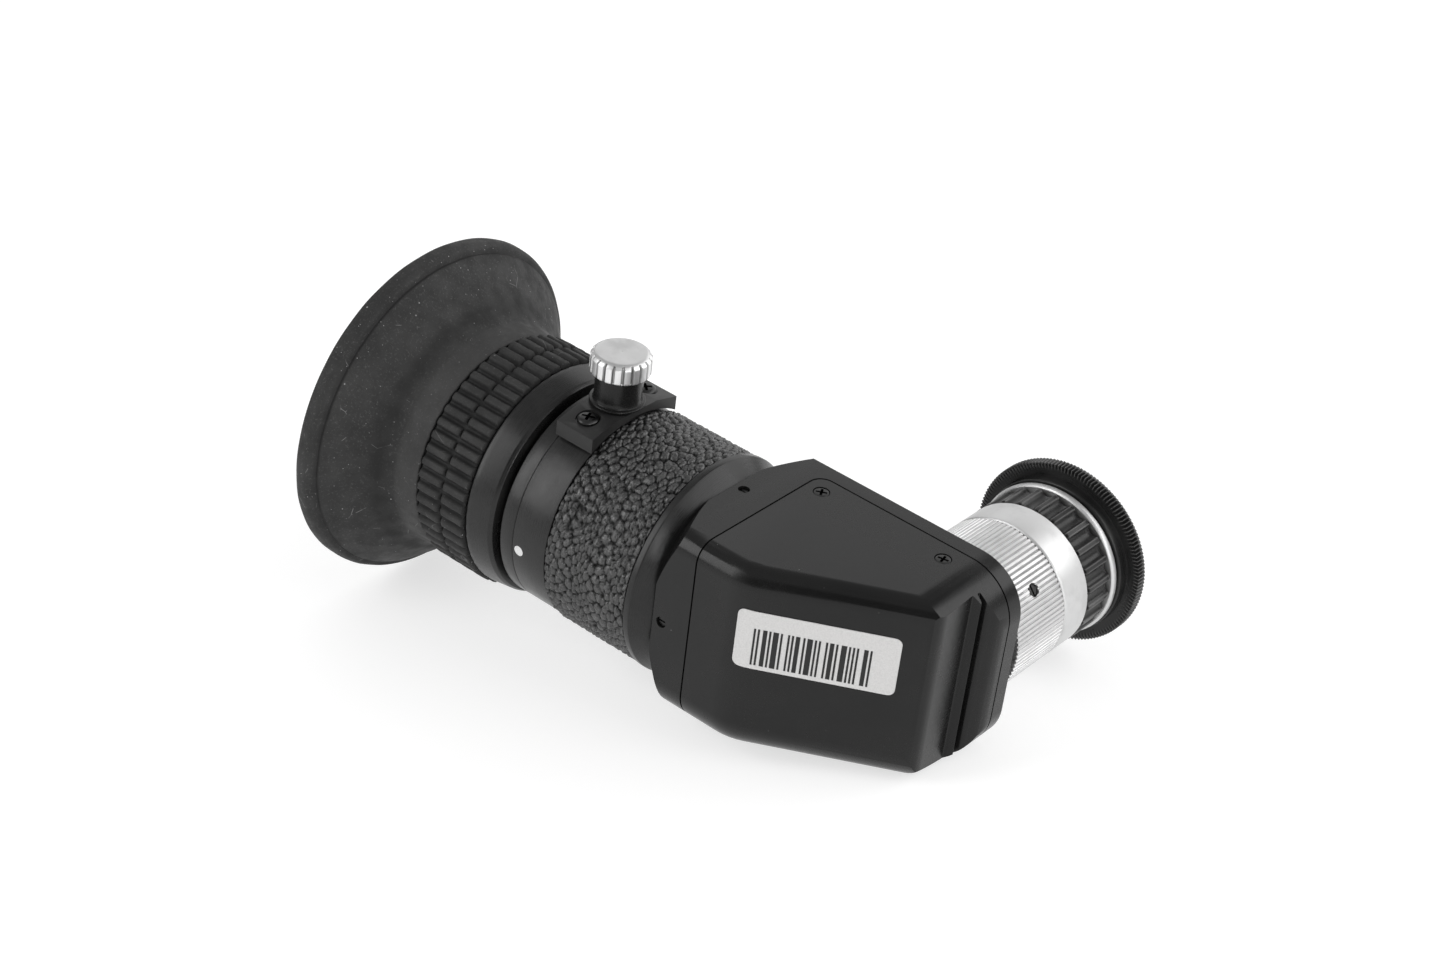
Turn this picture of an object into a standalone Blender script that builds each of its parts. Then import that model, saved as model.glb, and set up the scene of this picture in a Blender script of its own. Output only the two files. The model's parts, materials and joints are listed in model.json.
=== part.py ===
"""A right-angle viewfinder attachment for a camera: an eyepiece barrel, a roof-prism housing and a
rotating camera adapter, as separate pieces, lying on a table the way it comes to rest.

The pieces are drawn in the optical frame: the eyepiece axis is X, with the eyecup at -X, the camera
axis is +Y, +Z is the side that carries the lock knob, and the two axes meet at the origin. The root
empty then tips that frame about Y, so that the eyecup's rim and the far end of the housing both
touch z = 0, and centres it.
"""

import math

import bmesh
import bpy
from mathutils import Matrix, Vector

MM = 0.001
GAP = 0.3 * MM  # between pieces that touch

# Facets round a turned piece
LARGE, MEDIUM, SMALL = 32, 20, 10

# Eyepiece barrel, along X
RIM_X = -103.1 * MM
RIM_RADIUS = 32.0 * MM
LIP_X, LIP_RADIUS = RIM_X - 0.8 * MM, 31.5 * MM
CUP_END = -85.6 * MM
CUP_BORE = 18.9 * MM
GRIP_START, GRIP_END = -85.3 * MM, -74.2 * MM
GRIP_RADIUS = 21.5 * MM
RING_START, RING_END = -87.4 * MM, -68.3 * MM
RING_WALL = -85.4 * MM
RING_BORE = 17.5 * MM
RING_SKIRT = CUP_BORE - GAP
BAND_START = GRIP_END + GAP
BAND_RADIUS = 20.9 * MM
THREAD_START = -80.0 * MM
THREAD_RADIUS = RING_BORE - GAP
SLEEVE_START, SLEEVE_END = -67.0 * MM, -56.85 * MM
SLEEVE_RADIUS = 19.5 * MM
SLEEVE_BORE = 16.2 * MM
JOINT_X = -62.0 * MM  # where the barrel's end meets the sleeve's shoulder
BARREL_RADIUS = 20.0 * MM
LEATHER_START, LEATHER_END = -56.55 * MM, -39.0 * MM
END_RING_START, END_RING_END = -38.7 * MM, -34.4 * MM
SPIGOT_RADIUS = 14.6 * MM
SPIGOT_END = -27.0 * MM
TUBE_START, TUBE_END = -89.2 * MM, -60.0 * MM
EYE_TUBE_RADIUS = 15.9 * MM
LENS_RADIUS = 13.7 * MM
GUIDE_X = -64.2 * MM

# Prism housing, in plan and in height
HALF_HEIGHT = 18.0 * MM
BASE_X = -34.1 * MM
SEAM_X = -26.6 * MM
NEAR_Y = -18.0 * MM
BEND_X = -17.0 * MM
SLANT = math.radians(30)
CORNER_X = 9.5 * MM
CORNER_Y = NEAR_Y + (CORNER_X - BEND_X) * math.tan(SLANT)
END_X = 13.5 * MM
END_Y = 8.6 * MM
SEAM_Y = 12.9 * MM
BASE_Y = 16.0 * MM
CROOK = ((BASE_X, 9.6 * MM), (-31.0 * MM, BASE_Y))
END_ROUND = 9.0 * MM
EDGE_ROUND = 3.4 * MM
NOSE_RADIUS = 17.2 * MM  # what the base keeps round the barrel
WALL = 1.6 * MM
CORNER_ROUND = 2.4 * MM
GROOVES = ((12.2 * MM, 1.2 * MM), (13.7 * MM, 5.6 * MM))
GROOVE_RADIUS = 1.8 * MM
GROOVE_TOP, GROOVE_POINT = 11.0 * MM, 14.5 * MM
COVER_SCREWS = {"crook": -23.4 * MM, "end": 1.5 * MM}
COVER_SCREW_Y = 9.2 * MM
SET_SCREW_X = -32.3 * MM
PRISM_HALF = 12.0 * MM
ROOF_HALF = 10.0 * MM

# Camera side, along Y
TUBE_RADIUS = 13.2 * MM
NECK_RADIUS = 12.3 * MM
CAMERA_BORE = 12.0 * MM
KNURL_START, KNURL_END = 18.2 * MM, 31.5 * MM
PLAIN_START, PLAIN_END = 31.8 * MM, 38.6 * MM
FLUTED_START, FLUTED_END = 38.9 * MM, 44.9 * MM
WASHER_START, WASHER_END = 45.2 * MM, 46.6 * MM
FLANGE_START, FLANGE_END = 48.7 * MM, 51.5 * MM
FLANGE_RADIUS = 16.6 * MM
THREAD_END = 54.7 * MM
CAMERA_THREAD_RADIUS = 10.9 * MM
ADAPTER_BORE = 8.2 * MM
COLLAR_SCREW_Y = 25.2 * MM
COLLAR_SCREW_TURN = math.radians(48.7)

# Focus lock, along Z through the barrel
KNOB_X = -60.5 * MM
KNOB_RADIUS = 5.2 * MM
KNOB_BOTTOM, KNOB_TOP = 27.2 * MM, 31.0 * MM
COLUMN_RADIUS = 4.2 * MM
LOCK_BORE = 3.2 * MM
BRACKET_X = (-64.3 * MM, -56.3 * MM)
BRACKET_HALF, BRACKET_FLAT = 10.5 * MM, 5.3 * MM
BRACKET_TOP, BRACKET_EDGE = 21.3 * MM, 20.0 * MM
BRACKET_SCREW_Y = 7.15 * MM

# Label on the slanted face
LABEL = (25.5 * MM, 11.1 * MM, 0.2 * MM)

# How it lies: the plane under the rim and under the rounded end of the housing
ROUND_X, ROUND_Z = END_X - END_ROUND, END_ROUND - HALF_HEIGHT
REACH = math.hypot(ROUND_X - RIM_X, ROUND_Z + RIM_RADIUS)
TIP = math.atan2(ROUND_Z + RIM_RADIUS, ROUND_X - RIM_X) - math.asin(END_ROUND / REACH)

# name: (colour, roughness, metallic)
FINISHES = {
    "rubber": ((0.035, 0.035, 0.035), 0.8, 0.0),
    "black_paint": ((0.02, 0.02, 0.021), 0.35, 0.0),
    "black_anodised": ((0.025, 0.025, 0.027), 0.45, 0.0),
    "leather": ((0.022, 0.022, 0.022), 0.6, 0.0),
    "silver": ((0.72, 0.72, 0.72), 0.3, 1.0),
    "steel": ((0.3, 0.3, 0.31), 0.35, 1.0),
    "brass": ((0.6, 0.45, 0.2), 0.4, 1.0),
    "glass": ((0.85, 0.9, 0.92), 0.05, 0.0),
    "nylon": ((0.8, 0.8, 0.76), 0.5, 0.0),
    "paper": ((0.8, 0.8, 0.78), 0.6, 0.0),
}

# Turns a shape drawn along Z so that it lies along the axis
ALONG = {
    "x": Matrix(((0, 0, 1, 0), (1, 0, 0, 0), (0, 1, 0, 0), (0, 0, 0, 1))),
    "y": Matrix(((0, 1, 0, 0), (0, 0, 1, 0), (1, 0, 0, 0), (0, 0, 0, 1))),
    "z": Matrix.Identity(4),
}


def clear_scene():
    for old in list(bpy.data.objects):
        bpy.data.objects.remove(old, do_unlink=True)


def material(name, finish):
    colour, roughness, metallic = FINISHES[finish]
    made = bpy.data.materials.new(name)
    made.use_nodes = True
    shader = made.node_tree.nodes["Principled BSDF"]
    shader.inputs["Base Color"].default_value = (*colour, 1.0)
    shader.inputs["Roughness"].default_value = roughness
    shader.inputs["Metallic"].default_value = metallic
    return made


def add(name, shape, finish, parent, place=None):
    """A named piece from a bmesh drawn in its parent's frame. With no finish it is only a cutter."""
    if place is not None:
        bmesh.ops.transform(shape, matrix=place, verts=shape.verts)
    bmesh.ops.recalc_face_normals(shape, faces=shape.faces)
    mesh = bpy.data.meshes.new(name)
    shape.to_mesh(mesh)
    shape.free()
    mesh.shade_smooth()
    mesh.set_sharp_from_angle(angle=math.radians(30))
    piece = bpy.data.objects.new(name, mesh)
    bpy.context.scene.collection.objects.link(piece)
    piece.parent = parent
    if finish is None:
        piece.hide_render = True
        piece.display_type = "WIRE"
    else:
        mesh.materials.append(material(name, finish))
    return piece


def turned_shape(section, facets):
    """A body turned about Z from its closed section of (along, radius) points."""
    shape = bmesh.new()
    rows = []
    for along, radius in section:
        turns = [2 * math.pi * step / facets for step in range(facets if radius else 1)]
        rows.append([shape.verts.new((radius * math.cos(t), radius * math.sin(t), along)) for t in turns])
    for first, second in zip(rows, rows[1:] + rows[:1]):
        if len(first) == len(second) == 1:
            continue
        for step in range(facets):
            after = (step + 1) % facets
            near = first if len(first) == 1 else [first[step], first[after]]
            back = second if len(second) == 1 else [second[after], second[step]]
            shape.faces.new([*near, *back])
    return shape


def turned(name, axis, section, finish, parent, facets=MEDIUM, centre=(0, 0, 0)):
    place = Matrix.Translation(centre) @ ALONG[axis]
    return add(name, turned_shape(section, facets), finish, parent, place)


def ring(start, end, inner, outer):
    """The section of a plain ring."""
    return [(start, inner), (start, outer), (end, outer), (end, inner)]


def rod(*steps):
    """The section of a solid stepped rod from its (along, radius) steps."""
    return [(steps[0][0], 0), *steps, (steps[-1][0], 0)]


def extruded(outline, low, high, axis="z"):
    """An outline extruded along an axis. Its points are X, Y on z, then Y, Z on x and X, Z on y."""
    shape = bmesh.new()
    placed = {
        "x": lambda u, v: (low, u, v),
        "y": lambda u, v: (u, low, v),
        "z": lambda u, v: (u, v, low),
    }[axis]
    face = shape.faces.new([shape.verts.new(placed(u, v)) for u, v in outline])
    moved = bmesh.ops.extrude_face_region(shape, geom=[face])["geom"]
    ends = [item for item in moved if isinstance(item, bmesh.types.BMVert)]
    bmesh.ops.translate(shape, vec=ALONG[axis].col[2].xyz * (high - low), verts=ends)
    return shape


def rectangle(low_u, high_u, low_v, high_v):
    return [(low_u, low_v), (high_u, low_v), (high_u, high_v), (low_u, high_v)]


def arc(centre, radius, start, end, steps):
    """Points on an arc, angles in degrees, both ends included."""
    turns = [math.radians(start + (end - start) * step / steps) for step in range(steps + 1)]
    return [(centre[0] + radius * math.cos(t), centre[1] + radius * math.sin(t)) for t in turns]


def rounded(shape, radius, steps, wanted):
    """Rounds the edges for which wanted(middle, direction) is true."""
    chosen = []
    for edge in shape.edges:
        first, second = (vert.co for vert in edge.verts)
        if wanted((first + second) / 2, (second - first).normalized()):
            chosen.append(edge)
    bmesh.ops.bevel(shape, geom=chosen, offset=radius, segments=steps, profile=0.5, affect="EDGES")


def cut(piece, cutter, operation="DIFFERENCE"):
    boolean = piece.modifiers.new(cutter.name, "BOOLEAN")
    boolean.operation = operation
    boolean.solver = "EXACT"
    boolean.object = cutter


def bored(piece, name, axis, steps, centre=(0, 0, 0), facets=SMALL):
    """Cuts a stepped hole of (along, radius) steps out of a piece."""
    cut(piece, turned(name, axis, rod(*steps), None, piece.parent, facets, centre))


def cross_recess(screw, centre, low, high, half, width):
    """Cuts a cross-head recess, along Z through centre, into a screw's head."""
    for number, (u, v) in enumerate(((half, width), (width, half))):
        outline = rectangle(centre[0] - u, centre[0] + u, centre[1] - v, centre[1] + v)
        shape = extruded(outline, *sorted((low, high)))
        cut(screw, add(f"{screw.name}_recess_{number}", shape, None, screw.parent))


def body(name, parent):
    """An empty on a joint's axis, for the pieces that move with it."""
    empty = bpy.data.objects.new(name, None)
    empty.empty_display_size = 10 * MM
    empty.parent = parent
    bpy.context.scene.collection.objects.link(empty)
    return empty


# The eyepiece barrel


def make_barrel(root):
    tube = [
        (JOINT_X + GAP, 17.6 * MM), (-56.7 * MM, 17.6 * MM), (-56.7 * MM, 18.6 * MM),
        (LEATHER_END, 18.6 * MM), (LEATHER_END, SPIGOT_RADIUS), (SPIGOT_END, SPIGOT_RADIUS),
        (SPIGOT_END, 12.8 * MM), (-40.7 * MM, 12.8 * MM), (-40.7 * MM, 14.2 * MM),
        (-50.0 * MM, 14.2 * MM), (-50.0 * MM, SLEEVE_BORE), (JOINT_X + GAP, SLEEVE_BORE),
    ]
    turned("barrel_tube", "x", tube, "black_anodised", root)
    wrap = ring(LEATHER_START, LEATHER_END, CUP_BORE, BARREL_RADIUS)
    turned("leather_wrap", "x", wrap, "leather", root, LARGE)
    end_ring = [
        (END_RING_START, SPIGOT_RADIUS + GAP), (END_RING_START, BARREL_RADIUS),
        (-37.6 * MM, BARREL_RADIUS), (-36.4 * MM, 19.0 * MM), (END_RING_END, 17.4 * MM),
        (END_RING_END, SPIGOT_RADIUS + GAP),
    ]
    turned("barrel_end_ring", "x", end_ring, "black_paint", root, LARGE)
    turned("field_stop", "x", ring(-51.2 * MM, -50.3 * MM, 10.5 * MM, 15.9 * MM), "black_anodised", root)
    lens = rod((-45.6 * MM, 5 * MM), (-43.8 * MM, 13.9 * MM), (-41.9 * MM, 13.9 * MM), (-40.9 * MM, 5 * MM))
    turned("relay_lens", "x", lens, "glass", root)
    turned("relay_retainer", "x", ring(-46.6 * MM, -44.1 * MM, 12.9 * MM, 13.95 * MM), "brass", root)


def make_index_sleeve(root):
    """The fixed helicoid that the focusing ring runs on, and the satin band with the index mark."""
    section = [
        (THREAD_START, THREAD_RADIUS), (SLEEVE_START, THREAD_RADIUS), (SLEEVE_START, SLEEVE_RADIUS),
        (SLEEVE_END, SLEEVE_RADIUS), (SLEEVE_END, 17.9 * MM), (JOINT_X, 17.9 * MM),
        (JOINT_X, SLEEVE_BORE), (THREAD_START, SLEEVE_BORE),
    ]
    sleeve = turned("index_sleeve", "x", section, "black_anodised", root, LARGE)
    spot = (GUIDE_X, 0, 0)
    bored(sleeve, "guide_hole", "z", [(-21 * MM, 1.2 * MM), (-12 * MM, 1.2 * MM)], spot)
    guide = rod((-19.2 * MM, MM), (-16.5 * MM, MM), (-16.5 * MM, 0.7 * MM), (-14.9 * MM, 0.7 * MM))
    turned("guide_screw", "z", guide, "steel", root, SMALL, spot)


def make_eyepiece(slide):
    """The lens tube, kept from turning by its slot on the guide screw."""
    section = [
        (TUBE_START, 17.2 * MM), (RING_START - 0.5 * MM, 17.2 * MM), (RING_START - 0.5 * MM, EYE_TUBE_RADIUS),
        (TUBE_END, EYE_TUBE_RADIUS), (TUBE_END, 12.6 * MM), (-72.2 * MM, 12.6 * MM),
        (-72.2 * MM, LENS_RADIUS + GAP), (TUBE_START, LENS_RADIUS + GAP),
    ]
    tube = turned("eyepiece_tube", "x", section, "black_anodised", slide)
    slot = extruded(rectangle(-68.5 * MM, -58.0 * MM, -1.1 * MM, 1.1 * MM), -20 * MM, -10 * MM)
    cut(tube, add("guide_slot", slot, None, slide))
    eye = rod(
        (-86.8 * MM, 4 * MM), (-85.6 * MM, 10 * MM), (-84.6 * MM, LENS_RADIUS), (-82.2 * MM, LENS_RADIUS),
        (-81.0 * MM, 5 * MM),
    )
    turned("eye_lens", "x", eye, "glass", slide)
    turned("lens_spacer", "x", ring(-81.9 * MM, -77.3 * MM, 12.6 * MM, LENS_RADIUS), "black_anodised", slide)
    field = rod((-77.0 * MM, LENS_RADIUS), (-73.8 * MM, LENS_RADIUS), (-72.6 * MM, 6 * MM))
    turned("field_lens", "x", field, "glass", slide)
    retainer = ring(-88.8 * MM, -84.9 * MM, 12.8 * MM, LENS_RADIUS)
    retainer[2:] = [(-85.0 * MM, LENS_RADIUS), (-86.0 * MM, 12.8 * MM)]
    turned("eye_lens_retainer", "x", retainer, "black_anodised", slide)


def make_focusing_ring(turn):
    """The ring on the helicoid, with its rubber grip and the eyecup stretched over its end."""
    section = [
        (RING_START, 16.1 * MM), (RING_START, RING_SKIRT), (BAND_START, RING_SKIRT),
        (BAND_START, BAND_RADIUS), (RING_END - 0.7 * MM, 20.4 * MM), (RING_END, 20.0 * MM),
        (RING_END, RING_BORE), (RING_WALL, RING_BORE), (RING_WALL, 16.1 * MM),
    ]
    turned("focusing_ring", "x", section, "black_anodised", turn, LARGE)
    turned("rubber_grip", "x", ring(GRIP_START, GRIP_END, CUP_BORE, GRIP_RADIUS), "rubber", turn, LARGE)
    cup = [
        (CUP_END, CUP_BORE), (CUP_END, 20.1 * MM), (-90.2 * MM, 20.2 * MM), (-92.4 * MM, 21.3 * MM),
        (-95.2 * MM, 24.2 * MM), (RIM_X + 2.6 * MM, 30.6 * MM), (RIM_X, RIM_RADIUS), (LIP_X, LIP_RADIUS),
        (LIP_X, 30.2 * MM), (-102.0 * MM, 29.4 * MM), (-96.3 * MM, 22.8 * MM), (-92.0 * MM, 18.7 * MM),
        (-89.5 * MM, 17.8 * MM), (RING_START - GAP, 17.8 * MM), (RING_START - GAP, CUP_BORE),
    ]
    turned("eyecup", "x", cup, "rubber", turn, LARGE)


# The focus lock


def make_bracket(root):
    """A saddle over the sleeve's edge, which holds the column down with two screws."""
    under = BARREL_RADIUS + 0.25 * MM
    reach = math.degrees(math.asin(BRACKET_HALF / under))
    outline = [
        *arc((0, 0), under, 90 + reach, 90 - reach, 8), (BRACKET_HALF, BRACKET_EDGE),
        (BRACKET_FLAT, BRACKET_TOP), (-BRACKET_FLAT, BRACKET_TOP), (-BRACKET_HALF, BRACKET_EDGE),
    ]
    bracket = add("lock_bracket", extruded(outline, *BRACKET_X, "x"), "black_paint", root)
    lock_holes = [(12 * MM, LOCK_BORE), (30 * MM, LOCK_BORE)]
    screw_holes = [(12 * MM, MM), (30 * MM, MM)]
    for target in (bracket, bpy.data.objects["index_sleeve"], bpy.data.objects["barrel_tube"]):
        bored(target, f"{target.name}_lock_hole", "z", lock_holes, (KNOB_X, 0, 0), 20)
        for side, y in (("near", -BRACKET_SCREW_Y), ("far", BRACKET_SCREW_Y)):
            bored(target, f"{target.name}_screw_hole_{side}", "z", screw_holes, (KNOB_X, y, 0))
    fall = (BRACKET_TOP - BRACKET_EDGE) / (BRACKET_HALF - BRACKET_FLAT)
    seat = BRACKET_TOP - (BRACKET_SCREW_Y - BRACKET_FLAT) * fall - 0.5 * MM
    for side, y in (("near", -BRACKET_SCREW_Y), ("far", BRACKET_SCREW_Y)):
        spot = (KNOB_X, y, 0)
        bored(bracket, f"screw_seat_{side}", "z", [(seat, 2.1 * MM), (30 * MM, 2.1 * MM)], spot, 16)
        head = rod(
            (17.8 * MM, 0.7 * MM), (seat + 0.2 * MM, 0.7 * MM), (seat + 0.2 * MM, 1.85 * MM),
            (seat + 0.6 * MM, 1.85 * MM), (seat + 1.0 * MM, 1.3 * MM),
        )
        screw = turned(f"bracket_screw_{side}", "z", head, "steel", root, 16, spot)
        cross_recess(screw, spot, seat + 0.4 * MM, seat + 3 * MM, MM, 0.22 * MM)


def make_lock(root, lift, turn):
    spot = (KNOB_X, 0, 0)
    column = [
        (17.4 * MM, 2.0 * MM), (17.4 * MM, 2.9 * MM), (21.6 * MM, 2.9 * MM), (21.6 * MM, 4.8 * MM),
        (22.0 * MM, 4.8 * MM), (22.0 * MM, COLUMN_RADIUS), (28.1 * MM, COLUMN_RADIUS), (28.1 * MM, 2.0 * MM),
    ]
    turned("knob_column", "z", column, "black_paint", root, 28, spot)
    knob = [
        (KNOB_BOTTOM, COLUMN_RADIUS + GAP), (KNOB_BOTTOM, KNOB_RADIUS), (KNOB_TOP - 0.6 * MM, KNOB_RADIUS),
        (KNOB_TOP, 4.6 * MM), (KNOB_TOP, 0), (29.0 * MM, 0), (29.0 * MM, COLUMN_RADIUS + GAP),
    ]
    turned("lock_knob", "z", knob, "silver", turn, 28, spot)
    turned("lock_stem", "z", rod((19.2 * MM, 1.7 * MM), (28.7 * MM, 1.7 * MM)), "steel", turn, SMALL, spot)
    turned("friction_pad", "z", rod((16.4 * MM, 1.7 * MM), (18.9 * MM, 1.7 * MM)), "nylon", lift, SMALL, spot)


# The prism housing


def plan(inset, left, far):
    """The housing's plan outline moved in by inset, cut off at x = left and y = far."""
    near, end = NEAR_Y + inset, END_X - inset
    bend = BEND_X - inset * math.tan(SLANT / 2)
    corner_y = CORNER_Y + inset
    corner_x = bend + (corner_y - near) / math.tan(SLANT)
    return [(left, near), (bend, near), (corner_x, corner_y), (end, END_Y), (end, far), (left, far)]


def end_outline(inset):
    """The rounded far end of the housing, seen along Y."""
    half, end, radius = HALF_HEIGHT - inset, END_X - inset, END_ROUND - inset
    left = BASE_X - 5 * MM
    lower = arc((end - radius, radius - half), radius, -90, 0, 5)
    upper = arc((end - radius, half - radius), radius, 0, 90, 5)
    return [(left, -half), *lower, *upper, (left, half)]


def housing_form(name, inset, left, far, finish, root):
    """The housing's solid form inset by a wall: rounded along the near faces and over the far end."""
    half = HALF_HEIGHT - inset
    block = extruded(plan(inset, left, far), -half, half)
    rounded(
        block, EDGE_ROUND - inset, 3,
        lambda middle, way: abs(way.x) > 0.5 and abs(way.z) < 0.1 and middle.y < 0,
    )
    piece = add(name, block, finish, root)
    end = extruded(end_outline(inset), NEAR_Y - 5 * MM, BASE_Y + 9 * MM, "y")
    cut(piece, add(f"{name}_end", end, None, root), "INTERSECT")
    return piece


def corner_waste(x, y, radius):
    """What a square corner at its high-Y, low-X corner (x, y) loses to a round."""
    quarter = arc((x + radius, y - radius), radius, 90, 180, 4)
    outline = [(x - MM, y - radius), (x - MM, y + MM), (x + radius, y + MM), *quarter]
    return extruded(outline, -25 * MM, 25 * MM)


def make_base(root):
    """A casting: a block round the barrel's spigot and a wall for the camera tube, with four lugs."""
    base = housing_form("housing_base", 0, BASE_X, BASE_Y, "black_paint", root)
    crook = [(BASE_X - MM, CROOK[0][1]), *CROOK, (CROOK[1][0], BASE_Y + MM), (BASE_X - MM, BASE_Y + MM)]
    crook_cut = add("crook_cut", extruded(crook, -25 * MM, 25 * MM), None, root)
    nose_rod = rod((BASE_X - 5 * MM, NOSE_RADIUS), (BASE_X + 9 * MM, NOSE_RADIUS))
    cut(crook_cut, turned("crook_nose", "x", nose_rod, None, root, LARGE))
    cut(base, crook_cut)
    corners = [
        (BASE_X - MM, 18.4 * MM), (BASE_X, 19.2 * MM), (BASE_X + 5 * MM, 26 * MM),
        (BASE_X + 5 * MM, 40 * MM), (BASE_X - MM, 40 * MM),
    ]
    cut(base, turned("nose_cut", "x", corners, None, root, LARGE))
    room = extruded(rectangle(SEAM_X, 40 * MM, -40 * MM, SEAM_Y), -25 * MM, 25 * MM)
    rounded(room, CORNER_ROUND, 4, lambda middle, way: abs(way.z) > 0.9 and middle.x < 0 < middle.y)
    cut(base, add("cover_room", room, None, root))
    lug_top = HALF_HEIGHT - WALL - GAP
    lug_low = lug_top - 3.4 * MM
    for level, sign in (("top", 1), ("bottom", -1)):
        low, high = sorted((sign * lug_low, sign * lug_top))
        for place, x in COVER_SCREWS.items():
            start = SEAM_X - MM if place == "crook" else x - 2.9 * MM
            outline = rectangle(start, x + 2.8 * MM, COVER_SCREW_Y - 2.6 * MM, SEAM_Y + MM)
            cut(base, add(f"lug_{level}_{place}", extruded(outline, low, high), None, root), "UNION")
            hole = [(low - MM, 0.75 * MM), (high + MM, 0.75 * MM)]
            bored(base, f"lug_hole_{level}_{place}", "z", hole, (x, COVER_SCREW_Y, 0))
    spigot_bore = SPIGOT_RADIUS + GAP
    bored(base, "barrel_bore", "x", [(-40 * MM, spigot_bore), (-20 * MM, spigot_bore)], facets=MEDIUM)
    bored(base, "camera_bore", "y", [(10 * MM, CAMERA_BORE), (20 * MM, CAMERA_BORE)], facets=MEDIUM)
    for side, axis, sign in SET_SCREWS:
        hole = sorted((sign * 14 * MM, sign * 20 * MM))
        steps = [(along, 1.15 * MM) for along in hole]
        bored(base, f"set_screw_hole_{side}", axis, steps, (SET_SCREW_X, 0, 0))
        ends = sorted((sign * 16.3 * MM, sign * 17.5 * MM))
        screw = rod(*[(along, 0.85 * MM) for along in ends])
        turned(f"barrel_set_screw_{side}", axis, screw, "steel", root, SMALL, (SET_SCREW_X, 0, 0))


SET_SCREWS = (("top", "z", 1), ("near", "y", -1), ("bottom", "z", -1))


def make_cover(root):
    """One shell over the prism, open towards the base, held by four countersunk screws."""
    left, far = SEAM_X + GAP / 2, SEAM_Y - GAP / 2
    cover = housing_form("housing_cover", 0, left, far, "black_paint", root)
    cut(cover, housing_form("cover_inside", WALL, left - 5 * MM, far + 5 * MM, None, root))
    cut(cover, add("cover_corner", corner_waste(left, far, CORNER_ROUND), None, root))
    for number, (x, y) in enumerate(GROOVES):
        steps = [(-30 * MM, GROOVE_RADIUS), (GROOVE_TOP, GROOVE_RADIUS), (GROOVE_POINT, 0.3 * MM)]
        bored(cover, f"groove_{number}", "z", steps, (x, y, 0), 14)
    inner_face = HALF_HEIGHT - WALL
    for level, sign in (("top", 1), ("bottom", -1)):
        for place, x in COVER_SCREWS.items():
            steps = [
                (sign * (inner_face - MM), 0.95 * MM), (sign * (inner_face + 0.5 * MM), 0.95 * MM),
                (sign * (inner_face + 1.1 * MM), 1.55 * MM), (sign * (inner_face + 3 * MM), 1.55 * MM),
            ]
            spot = (x, COVER_SCREW_Y, 0)
            bored(cover, f"cover_hole_{level}_{place}", "z", steps[::sign], spot, 16)
            face = HALF_HEIGHT - 0.05 * MM
            shank = rod(
                (sign * (face - 5 * MM), 0.55 * MM), (sign * (face - 1.15 * MM), 0.55 * MM),
                (sign * (face - 0.35 * MM), 1.3 * MM), (sign * face, 1.3 * MM),
            )
            screw = turned(f"cover_screw_{level}_{place}", "z", shank, "steel", root, SMALL, spot)
            cross_recess(screw, spot, sign * (face - 0.5 * MM), sign * (face + MM), 0.8 * MM, 0.18 * MM)


def make_prism(root):
    """A right-angle roof prism: its ridge runs at 45 degrees through the crossing of the axes."""
    back = ROOF_HALF * math.sqrt(2)
    crest = [Vector((-PRISM_HALF, -PRISM_HALF, 0)), Vector((PRISM_HALF, PRISM_HALF, 0))]
    side = [
        Vector((-PRISM_HALF, back - PRISM_HALF, 0)), Vector((PRISM_HALF - back, PRISM_HALF, 0)),
        Vector((-PRISM_HALF, PRISM_HALF, 0)),
    ]
    shape = bmesh.new()
    crest = [shape.verts.new(point) for point in crest]
    up = Vector((0, 0, ROOF_HALF))
    top, bottom = ([shape.verts.new(point + way) for point in side] for way in (up, -up))
    for face in (top, bottom):
        shape.faces.new(face)
        shape.faces.new((face[0], face[1], crest[1], crest[0]))
    shape.faces.new((top[1], top[2], bottom[2], bottom[1], crest[1]))
    shape.faces.new((top[2], top[0], crest[0], bottom[0], bottom[2]))
    add("roof_prism", shape, "glass", root)
    seat = extruded(rectangle(-13.5 * MM, 10.5 * MM, -9.6 * MM, 9.6 * MM), 12.3 * MM, 12.9 * MM, "y")
    frame = add("prism_seat", seat, "black_anodised", root)
    bored(frame, "seat_window", "y", [(10 * MM, 8.2 * MM), (14 * MM, 8.2 * MM)], facets=MEDIUM)
    # A strip over the prism's top face, bent down over its exit face
    low, high = ROOF_HALF + GAP, ROOF_HALF + 0.7 * MM
    inner, outer = -PRISM_HALF - 0.4 * MM, -PRISM_HALF - 0.8 * MM
    strip = [(outer, 3 * MM), (inner, 3 * MM), (inner, low), (-2 * MM, low), (-2 * MM, high), (outer, high)]
    add("prism_spring", extruded(strip, 4.6 * MM, 11.6 * MM, "y"), "steel", root)


def make_label(root):
    """The paper label, flat on the slanted near face."""
    width, height, thick = LABEL
    radius = 1.2 * MM
    outline = []
    for u, v, first in (
        (width - radius, height - radius, 0), (radius, height - radius, 90), (radius, radius, 180),
        (width - radius, radius, 270),
    ):
        outline += arc((u, v), radius, first, first + 90, 2)
    along = Vector((math.cos(SLANT), math.sin(SLANT), 0))
    outward = Vector((math.sin(SLANT), -math.cos(SLANT), 0))
    place = Matrix.Identity(4)
    place.col[0].xyz = along
    place.col[1].xyz = (0, 0, 1)
    place.col[2].xyz = outward
    place.col[3].xyz = Vector((BEND_X, NEAR_Y, 0.2 * MM)) + along * 0.5 * MM + outward * 0.06 * MM
    add("paper_label", extruded(outline, 0, thick), "paper", root, place)


# The camera side


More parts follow.
